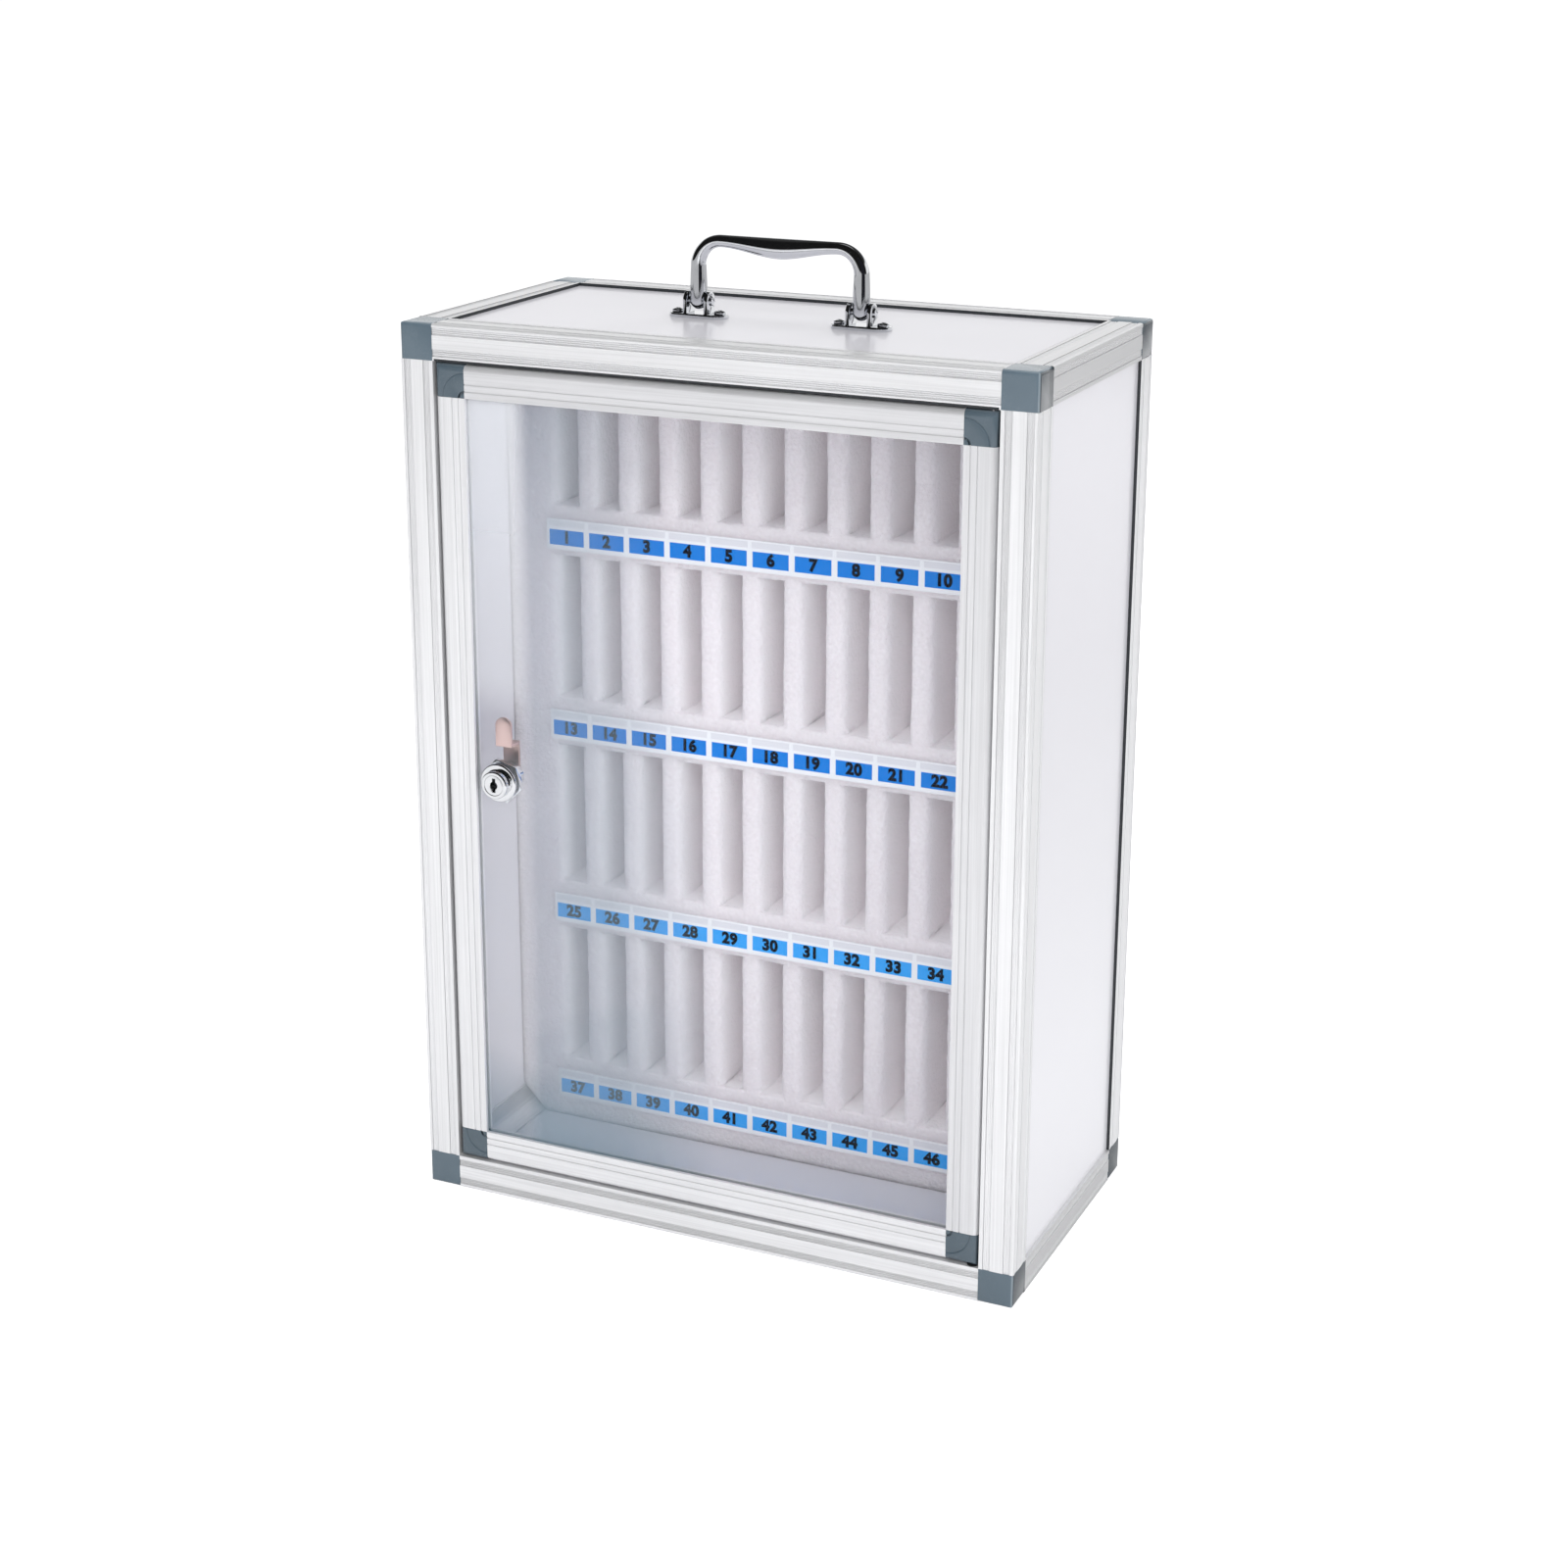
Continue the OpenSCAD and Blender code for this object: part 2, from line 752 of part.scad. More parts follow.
module handle_bracket(sx) {
  ear_in = leg_d / 2 + ear_gap;
  end_r = bracket_w / 2;
  straight = bracket_l - bracket_w;
  color(chrome) difference() {
    translate([sx * handle_span / 2, 0, panel_top_z]) {
      linear_extrude(bracket_t) {
        square([straight, bracket_w], center = true);
        for (side = [-1, 1]) translate([side * straight / 2, 0]) circle(end_r);
      }
      for (side = [-1, 1])
        translate([side < 0 ? -ear_in - bracket_t : ear_in, 0, 0])
          rotate([90, 0, 90])
            linear_extrude(bracket_t) {
              translate([-ear_r, 0]) square([2 * ear_r, pivot_up]);
              translate([0, pivot_up]) circle(ear_r);
            }
    }
    translate([sx * handle_span / 2, 0, pivot_z])
      rotate([0, 90, 0])
        cylinder(r = pivot_r + run_gap, h = bracket_l, center = true);
    at_screws(sx) cylinder(r = screw_r + run_gap, h = 4 * bracket_t, center = true);
  }
}

module handle_pins() {
  reach = leg_d / 2 + ear_gap + bracket_t;
  bevel = 0.8;
  color(chrome)
    for (sx = [-1, 1])
      translate([sx * handle_span / 2, 0, pivot_z])
        rotate([0, 90, 0]) {
          cylinder(r = pivot_r, h = 2 * reach, center = true);
          for (side = [0, 1])
            mirror([0, 0, side])
              translate([0, 0, reach])
                cylinder(r1 = pin_head_r, r2 = pin_head_r - bevel, h = pin_head_t);
        }
}

module handle_screws() {
  past_nut = 0.6;
  shank = bracket_t + panel_t + handle_nut_t + past_nut;
  dome = 2 * screw_head_r;
  color(chrome)
    for (sx = [-1, 1])
      at_screws(sx) translate([0, 0, bracket_t]) {
        translate([0, 0, -shank]) cylinder(r = screw_r, h = shank + screw_head_t / 4);
        difference() {
          intersection() {
            translate([0, 0, screw_head_t - dome]) sphere(dome);
            cylinder(r = screw_head_r, h = screw_head_t);
          }
          for (turn = [0, 90]) rotate(turn) driver_slot(screw_head_t);
        }
      }
}

module handle_nuts() {
  color(chrome)
    for (sx = [-1, 1])
      at_screws(sx)
        translate([0, 0, -panel_t - handle_nut_t])
          difference() {
            cylinder(r = handle_nut_r, h = handle_nut_t, $fn = 6);
            translate([0, 0, -over]) cylinder(r = screw_r + run_gap, h = handle_nut_t + 2 * over);
          }
}

// The bail is one tube that is swept along a middle line: a rounded end round the pivot,
// the leg, the bend, and the grip, whose belly hangs below a straight top.
function smooth(t) = let (c = min(1, max(0, t))) c * c * (3 - 2 * c);

// One ring of the tube as [x, z, lean of the ring, radius], for the half with positive x
leg_r = leg_d / 2;
thin_r = bend_d / 2;
belly_r = grip_d / 2;
half_span = handle_span / 2;
// How much slimmer the leg is where its bend starts
leg_taper = 0.6;
bend_z = handle_rise - thin_r - bend_r;
cap_steps = 5;
leg_steps = 3;
bend_steps = 9;
grip_steps = 10;

function cap_ring(i) = let (a = 90 * i / cap_steps) [half_span, -leg_r * cos(a), 0, leg_r * sin(a)];
function leg_ring(i) = let (t = i / leg_steps) [half_span, bend_z * t, 0, leg_r - leg_taper * t * t];
function bend_ring(i) = let (t = i / bend_steps, a = 90 * t) [
  half_span - bend_r * (1 - cos(a)),
  bend_z + bend_r * sin(a),
  a,
  leg_r - leg_taper + (thin_r - leg_r + leg_taper) * smooth(t)
];
function grip_ring(i) = let (
  t = i / grip_steps,
  r = thin_r + (belly_r - thin_r) * smooth(t)
) [(half_span - bend_r) * (1 - t), handle_rise - r, 90, r];

half_rings = concat(
  [for (i = [1 : cap_steps - 1]) cap_ring(i)],
  [for (i = [0 : leg_steps - 1]) leg_ring(i)],
  [for (i = [0 : bend_steps - 1]) bend_ring(i)],
  [for (i = [0 : grip_steps]) grip_ring(i)]
);
rings = concat(
  half_rings,
  [
    for (i = [len(half_rings) - 2 : -1 : 0])
      let (ring = half_rings[i]) [-ring[0], ring[1], 180 - ring[2], ring[3]]
  ]
);
tube_sides = 24;

function ring_points(ring) = [
  for (k = [0 : tube_sides - 1]) let (a = 360 * k / tube_sides) [
    ring[0] + ring[3] * cos(a) * cos(ring[2]),
    ring[3] * sin(a),
    ring[1] + ring[3] * cos(a) * sin(ring[2])
  ]
];

module handle_bail() {
  count = len(rings);
  n = tube_sides;
  points = concat(
    [for (ring = rings) each ring_points(ring)],
    [[half_span, 0, -leg_r], [-half_span, 0, -leg_r]]
  );
  first_pole = count * n;
  faces = concat(
    [
      for (j = [0 : count - 2], k = [0 : n - 1]) let (
        a = j * n + k, b = j * n + (k + 1) % n, c = a + n, d = b + n
      ) each [[a, b, c], [b, d, c]]
    ],
    [for (k = [0 : n - 1]) [first_pole, (k + 1) % n, k]],
    [for (k = [0 : n - 1]) [first_pole + 1, (count - 1) * n + k, (count - 1) * n + (k + 1) % n]]
  );
  color(chrome)
    translate([0, 0, pivot_z])
      difference() {
        polyhedron(points, faces, convexity = 6);
        for (sx = [-1, 1])
          translate([sx * half_span, 0, 0])
            rotate([0, 90, 0])
              cylinder(r = pivot_r + run_gap, h = leg_d + 2 * over, center = true);
      }
}

color(silver) post_lock_side();  // post_front_left
color(silver) upright(1, -1) front_section();  // post_front_right
color(silver) upright(-1, 1) edge_section();  // post_back_left
color(silver) upright(1, 1) edge_section();  // post_back_right
color(silver) rail_with_bush_hole(1);  // rail_front_top
color(silver) rail_with_bush_hole(-1);  // rail_front_bottom
color(silver) along_x(1, 1) edge_section();  // rail_back_top
color(silver) along_x(1, -1) edge_section();  // rail_back_bottom
color(silver) along_y(-1, 1) edge_section();  // rail_left_top
color(silver) along_y(-1, -1) edge_section();  // rail_left_bottom
color(silver) along_y(1, 1) edge_section();  // rail_right_top
color(silver) along_y(1, -1) edge_section();  // rail_right_bottom
at_case_corner(-1, -1, 1) corner_block(false);  // corner_front_top_left
at_case_corner(1, -1, 1) corner_block(false);  // corner_front_top_right
at_case_corner(-1, -1, -1) corner_block(false);  // corner_front_bottom_left
at_case_corner(1, -1, -1) corner_block(false);  // corner_front_bottom_right
at_case_corner(-1, 1, 1) corner_block(true);  // corner_back_top_left
at_case_corner(1, 1, 1) corner_block(true);  // corner_back_top_right
at_case_corner(-1, 1, -1) corner_block(true);  // corner_back_bottom_left
at_case_corner(1, 1, -1) corner_block(true);  // corner_back_bottom_right
panel_top();
case_panel(  // panel_bottom
    [panel_edge - case_w / 2, panel_edge + front_y, panel_recess],
    [case_w - 2 * panel_edge, case_d - 2 * panel_edge, panel_t]
  );
side_panel(-1);  // panel_left
side_panel(1);  // panel_right
case_panel(  // panel_back
    [panel_edge - case_w / 2, foam_end_y, panel_edge],
    [case_w - 2 * panel_edge, panel_t, case_h - 2 * panel_edge]
  );
foam_back_sheet();
foam_bands();
foam_row(1);  // foam_row_1
foam_row(2);  // foam_row_2
foam_row(3);  // foam_row_3
foam_row(4);  // foam_row_4
label_strip(1);  // label_strip_1
label_strip(2);  // label_strip_2
label_strip(3);  // label_strip_3
label_strip(4);  // label_strip_4
handle_bracket(-1);  // handle_bracket_left
handle_bracket(1);  // handle_bracket_right
handle_screws();
handle_nuts();
handle_pins();
handle_bail();
hinge_bushes();
hinge_pins();
door_stile(-1);  // door_stile_lock_side
door_stile(1);  // door_stile_hinge_side
door_rail(1);  // door_rail_top
door_rail(-1);  // door_rail_bottom
at_door_corner(-1, 1) door_corner(false);  // door_corner_top_left
at_door_corner(1, 1) door_corner(true);  // door_corner_top_right
at_door_corner(-1, -1) door_corner(false);  // door_corner_bottom_left
at_door_corner(1, -1) door_corner(true);  // door_corner_bottom_right
door_pane();
lock_housing();
lock_nut();
lock_core();
lock_cam();
cam_screw();
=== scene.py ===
"""Looks for an aluminium framed locker box for mobile phones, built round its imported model."""
import json
import math

import bmesh
import bpy
import numpy as np
from mathutils import Matrix, Vector

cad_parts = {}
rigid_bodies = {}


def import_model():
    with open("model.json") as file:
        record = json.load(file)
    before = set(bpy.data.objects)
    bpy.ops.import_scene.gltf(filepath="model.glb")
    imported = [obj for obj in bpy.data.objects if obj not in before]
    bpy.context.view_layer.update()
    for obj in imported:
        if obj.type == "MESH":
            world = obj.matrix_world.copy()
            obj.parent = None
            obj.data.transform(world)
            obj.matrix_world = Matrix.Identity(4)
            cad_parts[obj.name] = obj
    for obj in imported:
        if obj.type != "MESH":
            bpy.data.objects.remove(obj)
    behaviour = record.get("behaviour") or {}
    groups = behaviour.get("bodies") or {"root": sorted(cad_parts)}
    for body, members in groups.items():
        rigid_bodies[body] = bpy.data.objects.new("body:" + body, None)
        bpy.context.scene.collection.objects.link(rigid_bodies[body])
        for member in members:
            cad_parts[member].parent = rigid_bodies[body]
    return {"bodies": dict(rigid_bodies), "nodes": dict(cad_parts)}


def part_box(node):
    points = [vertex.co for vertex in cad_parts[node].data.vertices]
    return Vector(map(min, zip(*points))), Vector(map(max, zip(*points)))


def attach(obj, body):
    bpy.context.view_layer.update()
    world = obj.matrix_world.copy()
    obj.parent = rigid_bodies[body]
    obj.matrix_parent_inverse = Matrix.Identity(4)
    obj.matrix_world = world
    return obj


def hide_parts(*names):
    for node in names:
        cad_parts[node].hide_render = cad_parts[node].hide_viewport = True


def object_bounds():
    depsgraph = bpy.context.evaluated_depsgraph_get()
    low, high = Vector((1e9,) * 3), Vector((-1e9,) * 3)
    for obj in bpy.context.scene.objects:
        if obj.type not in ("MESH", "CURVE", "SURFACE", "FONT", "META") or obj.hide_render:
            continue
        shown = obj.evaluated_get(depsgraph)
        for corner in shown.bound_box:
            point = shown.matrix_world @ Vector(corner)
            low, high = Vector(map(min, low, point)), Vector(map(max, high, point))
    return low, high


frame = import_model()
cad_low, cad_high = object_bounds()

# Sizes that repeat the model's own, in metres
MM = 0.001
COLUMNS = 12
ROWS = 4
SLOT_PITCH = 28.5 * MM
SLOT_W = 14 * MM
BAR_W = 24.5 * MM
BAR_H = 10 * MM
BAR_UP = 3 * MM
EDGE_W = 22 * MM
PANEL_RECESS = 2 * MM
PANEL_T = 4 * MM
LIP_EDGE = 7.4 * MM
PIVOT_Z = 568 * MM
FOAM_CHAMFER = EDGE_W + LIP_EDGE + 0.3 * MM - 2 * (PANEL_RECESS + PANEL_T)

# Sizes of the painted shade and painted highlights, of the foam's rounded edges and of gaps kept
# from the model's faces
SHADE_STRIP_H = 2.3 * MM
LIP_LINE = 0.1 * MM
HIGHLIGHT_W = 1.2 * MM
RING_R = 15.6 * MM
FOAM_LIP = 5.2 * MM
FOAM_END_LIP = 1.8 * MM
FOAM_STEP_X = 2.2 * MM
FOAM_STEP_Z = 2.8 * MM
HAIR = 0.1 * MM
SAME_PLACE = 1e-6

# How much of a face's direction lies along an axis, from none of the painted shade and highlights
# to all of them
FACING = (0.625, 0.875)

# What polished surfaces see behind the object, by the sine of the height above the horizon
BACKDROP = [(0.0, 1.0), (0.38, 1.0), (0.5, 0.03), (0.93, 0.03), (0.97, 0.5)]
STUDIO_DARK = 0.01
FILL_LIGHT = 0.5


class Wire:
    """An output socket of a node. Arithmetic on it adds Math nodes."""

    def __init__(self, shading, socket):
        self.shading = shading
        self.socket = socket

    def beside(self, output):
        """Another output of the same node."""
        return Wire(self.shading, self.socket.node.outputs[output])

    def maths(self, operation, *inputs):
        """A Math node with these inputs."""
        sockets = dict(enumerate(inputs))
        return self.shading.node("Math", {"operation": operation}, sockets)

    def __add__(self, other):
        return self.maths("ADD", self, other)

    __radd__ = __add__

    def __sub__(self, other):
        return self.maths("SUBTRACT", self, other)

    def __rsub__(self, other):
        return self.maths("SUBTRACT", other, self)

    def __mul__(self, other):
        return self.maths("MULTIPLY", self, other)

    __rmul__ = __mul__

    def __pow__(self, other):
        return self.maths("POWER", self, other)

    def __abs__(self):
        return self.maths("ABSOLUTE", self)

    def __lt__(self, other):
        return self.maths("LESS_THAN", self, other)

    def __gt__(self, other):
        return self.maths("GREATER_THAN", self, other)

    def larger(self, other):
        """The larger of two values."""
        return self.maths("MAXIMUM", self, other)

    def clipped(self):
        """The value held between 0 and 1."""
        return self.maths("MINIMUM", self.larger(0.0), 1.0)

    def rise(self, start, end):
        """0 up to the start, 1 from the end on, and a straight rise between them."""
        return ((self - start) * (1.0 / (end - start))).clipped()

    def repeated(self, length):
        """The value counted from the start of each stretch of that length."""
        return self.maths("FLOORED_MODULO", self, length)


class Shading:
    """The nodes of a material, or of the world, under construction."""

    def __init__(self, owner, output):
        owner.use_nodes = True
        self.owner = owner
        self.output = output
        self.tree = owner.node_tree
        self.tree.nodes.clear()

    def node(self, kind, settings=None, sockets=None, output=0):
        """Adds a node: its settings first, then values or wires for its sockets."""
        made = self.tree.nodes.new("ShaderNode" + kind)
        for key, value in (settings or {}).items():
            if key == "stops":
                set_stops(made.color_ramp, value)
            else:
                setattr(made, key, value)
        for key, value in (sockets or {}).items():
            if isinstance(value, Wire):
                self.tree.links.new(value.socket, made.inputs[key])
            else:
                made.inputs[key].default_value = value
        return Wire(self, made.outputs[output])

    def parts(self, vector):
        """A vector's x, y and z."""
        x = self.node("SeparateXYZ", {}, {0: vector})
        return x, x.beside(1), x.beside(2)

    def send(self, shader):
        """Puts a shader on the output."""
        out = self.tree.nodes.new("ShaderNode" + self.output)
        self.tree.links.new(shader.socket, out.inputs[0])
        return self.owner


class Finish(Shading):
    """A material under construction."""

    def __init__(self, name):
        super().__init__(bpy.data.materials.new(name), "OutputMaterial")
        self.place = self.node("TexCoord", output="Object")

    def noise(self, scale, detail, stretch=None):
        """Noise from 0 to 1 with features about 1 / scale metres across."""
        at = self.place
        if stretch:
            at = self.node("Mapping", {}, {"Vector": at, "Scale": stretch})
        return self.node("TexNoise", {}, {"Vector": at, "Scale": scale, "Detail": detail})

    def cells(self, scale):
        """Distance to the nearest of scattered points, about 1 / scale metres apart."""
        return self.node("TexVoronoi", {}, {"Vector": self.place, "Scale": scale})

    def normal(self):
        """The direction that the surface faces, in the object's own axes."""
        return self.node("TexCoord", output="Normal")

    def axes(self):
        """The place's x, y and z."""
        return self.parts(self.place)

    def colour(self, mask, low, high):
        """A colour that runs from low to high with the mask. Each may be a wire."""
        first, second = (c if isinstance(c, Wire) else (*c, 1.0) for c in (low, high))
        return self.node("Mix", {"data_type": "RGBA"}, {0: mask, 6: first, 7: second}, output=2)

    def bump(self, height, distance, strength):
        """Small relief, as deep in metres as the distance where the height runs from 0 to 1."""
        return self.node("Bump", {}, {"Height": height, "Distance": distance, "Strength": strength})

    def surface(self, **sockets):
        """The Principled shader with these sockets, sent to the output."""
        named = {key.replace("_", " "): value for key, value in sockets.items()}
        for key in ("Base Color", "Emission Color"):
            if isinstance(named.get(key), tuple):
                named[key] = (*named[key], 1.0)
        return self.send(self.node("BsdfPrincipled", {}, named))


def set_stops(ramp, stops):
    """Gives a colour ramp its stops, as pairs of a place and a grey level."""
    while len(ramp.elements) > 1:
        ramp.elements.remove(ramp.elements[-1])
    for i, (at, level) in enumerate(stops):
        element = ramp.elements[0] if i == 0 else ramp.elements.new(at)
        element.position = at
        element.color = (level, level, level, 1.0)


# Materials

def painted_shade_lines(f):
    """Painted shade and reflection: a dark strip over the door's top edge for the shadow in the
    gap, and dark lips of the frame round the top sheet and beside the side sheets for their shade
    and dark reflections."""
    x, y, z = f.axes()
    out_x, out_y = abs(x), abs(y)
    door_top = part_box("door_corner_top_right")[1]
    from_strip = abs(z - door_top.z - SHADE_STRIP_H / 2)
    strip = (from_strip < SHADE_STRIP_H / 2) * (out_x < door_top.x) * (y < 0)
    lip_x, lip_y = cad_high.x - EDGE_W, cad_high.y - EDGE_W
    over_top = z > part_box("rail_front_top")[1].z - PANEL_RECESS
    round_top = abs((out_x - lip_x).larger(out_y - lip_y)) < LIP_LINE
    beside = (out_x > cad_high.x - PANEL_RECESS) * (abs(out_y - lip_y) < LIP_LINE)
    return (strip + over_top * round_top + beside).clipped()


def sideways(f):
    """1 where the surface faces left or right, 0 where it faces up, down, forward or back."""
    return abs(f.parts(f.normal())[0]).rise(*FACING)


def drawn_aluminium(name, run, colour, side, with_painted_shade):
    """Satin anodised extrusion, with fine drawing lines along x, y or z. The share side scales the
    colour of faces that look sideways, as painted shade, and the last argument adds the painted
    dark lines."""
    f = Finish(name)
    stretch = [1.0, 1.0, 1.0]
    stretch["xyz".index(run)] = 0.012
    lines = f.noise(900, 3, stretch)
    bands = f.noise(160, 2, stretch)
    clouds = f.noise(14, 3)
    shade = ((lines * 0.5 + bands * 0.3 + clouds * 0.2) * 2.2 - 0.6).clipped()
    paint = f.colour(shade, tuple(c * 0.74 for c in colour), colour)
    # Painted shade: faces that look sideways take the darker share of the colour
    paint = f.colour(sideways(f), paint, tuple(c * side for c in colour))
    # Painted shade: a dark strip in the gap over the door, and dark lip lines for shade and dark
    # reflections
    painted_shade = painted_shade_lines(f) if with_painted_shade else 0.0
    return f.surface(
        Base_Color=f.colour(painted_shade, paint, (0.02, 0.023, 0.027)) if with_painted_shade else paint,
        Metallic=0.5 - painted_shade * 0.5,
        Roughness=0.36 + (lines - 0.5) * 0.16 + (clouds - 0.5) * 0.1 + painted_shade * 0.3,
        Specular_IOR_Level=0.7,
        Normal=f.bump(lines, 0.00002, 0.6),
    )


def corner_plastic(name, tone=1.0):
    """Moulded slate plastic with a fine spark grain and a semi-gloss skin. Faces that look
    sideways are darker, a painted shade. Painted highlights make it paler on top, along the case's
    upright edges, and along a ring cut in each of the door's corners, round that corner of the
    opening for the pane."""
    f = Finish(name)
    x, y, z = f.axes()
    grain = f.noise(2600, 2)
    clouds = f.noise(60, 3)
    # Painted highlights: along the case's upright edges, beside the ring in the door corners, and
    # on top
    edge = (abs(x) > cad_high.x - HIGHLIGHT_W) * (abs(y) > cad_high.y - HIGHLIGHT_W)
    low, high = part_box("door_corner_bottom_left")
    top_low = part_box("door_corner_top_left")[0]
    middle_z = (high.z + top_low.z) / 2
    across, up = abs(x) + high.x, abs(z - middle_z) - (top_low.z - middle_z)
    from_ring = (across * across + up * up) ** 0.5 - (RING_R - HIGHLIGHT_W / 2)
    ring = (abs(from_ring) < HIGHLIGHT_W / 3) * (y < high.y) * (abs(x) < -low.x)
    above = f.parts(f.normal())[2].rise(*FACING)
    painted_highlight = (edge * 0.7 + ring * 0.6 * (clouds + 0.4) + above * 0.5).clipped()
    dark, pale = (
        tuple(c * tone for c in shade)
        for shade in ((0.08, 0.113, 0.141), (0.101, 0.139, 0.171))
    )
    slate = f.colour(clouds, dark, pale)
    # Painted shade on faces that look sideways
    slate = f.colour(sideways(f) * 0.65, slate, (0.0, 0.0, 0.0))
    return f.surface(
        Base_Color=f.colour(painted_highlight, slate, (0.23, 0.275, 0.31)),
        Roughness=0.24 + (grain - 0.5) * 0.2 + (clouds - 0.5) * 0.1,
        Specular_IOR_Level=0.5,
        Coat_Weight=0.12,
        Coat_Roughness=0.12,
        Normal=f.bump(grain, 0.00003, 0.4),
    )


def coated_sheet():
    """Pale lilac coated composite sheet with a faint orange peel, painted near white on its inner
    face as painted light for the inside of the case. Its outer face is greyer higher up."""
    f = Finish("coated_sheet")
    x, y, z = f.axes()
    peel = f.noise(420, 2)
    clouds = f.noise(9, 3)
    low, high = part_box("foam_back_sheet")
    reach = 2.5 * MM
    # Painted light: the inner face inside the case is painted near white
    inside = (abs(x) < high.x + reach) * (z > low.z - reach) * (z < high.z + reach) * (y < high.y)
    higher = z.rise(0.12, 0.37)
    outer = f.colour(clouds, (0.7, 0.7, 0.735), (0.74, 0.74, 0.775))
    outer = f.colour(higher, outer, (0.625, 0.62, 0.658))
    return f.surface(
        Base_Color=f.colour(inside, outer, (0.92, 0.945, 0.975)),
        Roughness=0.34 + (clouds - 0.5) * 0.1,
        Coat_Weight=0.3,
        Coat_Roughness=0.1,
        Normal=f.bump(peel, 0.00003, 0.35),
    )


def bead_foam():
    """White expanded foam: packed beads about 3 mm across, with bright facets. It lets light
    through. Painted light: it glows faintly, most inside its slots, which are also painted paler."""
    f = Finish("bead_foam")
    _, y, _ = f.axes()
    beads = f.cells(330)
    pores = f.cells(1150)
    clouds = f.noise(35, 3)
    specks = f.noise(520, 3)
    height = (1.0 - beads) * 0.75 + (1.0 - pores) * 0.25
    shade = (clouds * 0.4 + (1.0 - beads * 0.9) * 0.3 + (specks - 0.35) * 0.9).clipped()
    face = f.colour(shade, (0.79, 0.71, 0.74), (1.0, 0.925, 0.955))
    # Painted light: inside the slots the foam is paler and glows more
    face_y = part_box("foam_bands")[0].y
    inside = y.rise(face_y, face_y + 5 * MM)
    return f.surface(
        Base_Color=f.colour(inside, face, (0.98, 0.92, 0.945)),
        Roughness=0.75 - (pores < 0.16) * 0.35,
        Subsurface_Weight=0.7,
        Subsurface_Scale=0.022,
        Subsurface_Radius=(1.0, 0.94, 0.96),
        Emission_Color=f.colour(inside, (0.3, 0.29, 0.3), (1.0, 0.98, 1.0)),
        Emission_Strength=0.03,
        Normal=f.bump(height * 0.6 + specks * 0.4, 0.0014, 0.9),
    )


def label_card():
    """Pale card ruled into one field a slot, each with a blue bar for its number. Places are
    counted along from the middle of each field, and up from the foot of each row's strip."""
    f = Finish("label_card")
    x, _, z = f.axes()
    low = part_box("label_strip_1")[0]
    row_drop = low.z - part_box("label_strip_2")[0].z
    along = (x - low.x).repeated(SLOT_PITCH) - SLOT_PITCH / 2
    up = (z - (low.z - (ROWS - 1) * row_drop)).repeated(row_drop)
    bar = (abs(along) < BAR_W / 2) * (abs(up - (BAR_UP + BAR_H / 2)) < BAR_H / 2)
    field_low, field_high, rule_w = 15 * MM, 18.9 * MM, 1.3 * MM
    rule = (abs(along) > SLOT_PITCH / 2 - rule_w) + (up > field_high) + (up < field_low)
    grain = f.noise(700, 2)
    # Painted light: the bars of the two lower rows are a paler blue than those of the upper rows
    upper_rows_shaded = z.rise(0.2, 0.2714)
    deep_blue = f.colour(grain, (0.003, 0.19, 0.68), (0.004, 0.23, 0.78))
    blue = f.colour(upper_rows_shaded, (0.04, 0.38, 0.93), deep_blue)
    field = f.colour(rule.clipped(), (0.78, 0.775, 0.82), (0.9, 0.9, 0.93))
    return f.surface(
        Base_Color=f.colour(bar, field, blue),
        Roughness=0.6 + (grain - 0.5) * 0.15,
        Specular_IOR_Level=0.2,
        Normal=f.bump(grain, 0.00002, 0.3),
    )


def numeral_ink():
    """Matt near-black ink."""
    f = Finish("numeral_ink")
    grain = f.noise(900, 2)
    return f.surface(
        Base_Color=f.colour(grain, (0.001, 0.002, 0.006), (0.004, 0.006, 0.016)),
        Roughness=0.8 + (grain - 0.5) * 0.2,
        Specular_IOR_Level=0.05,
    )


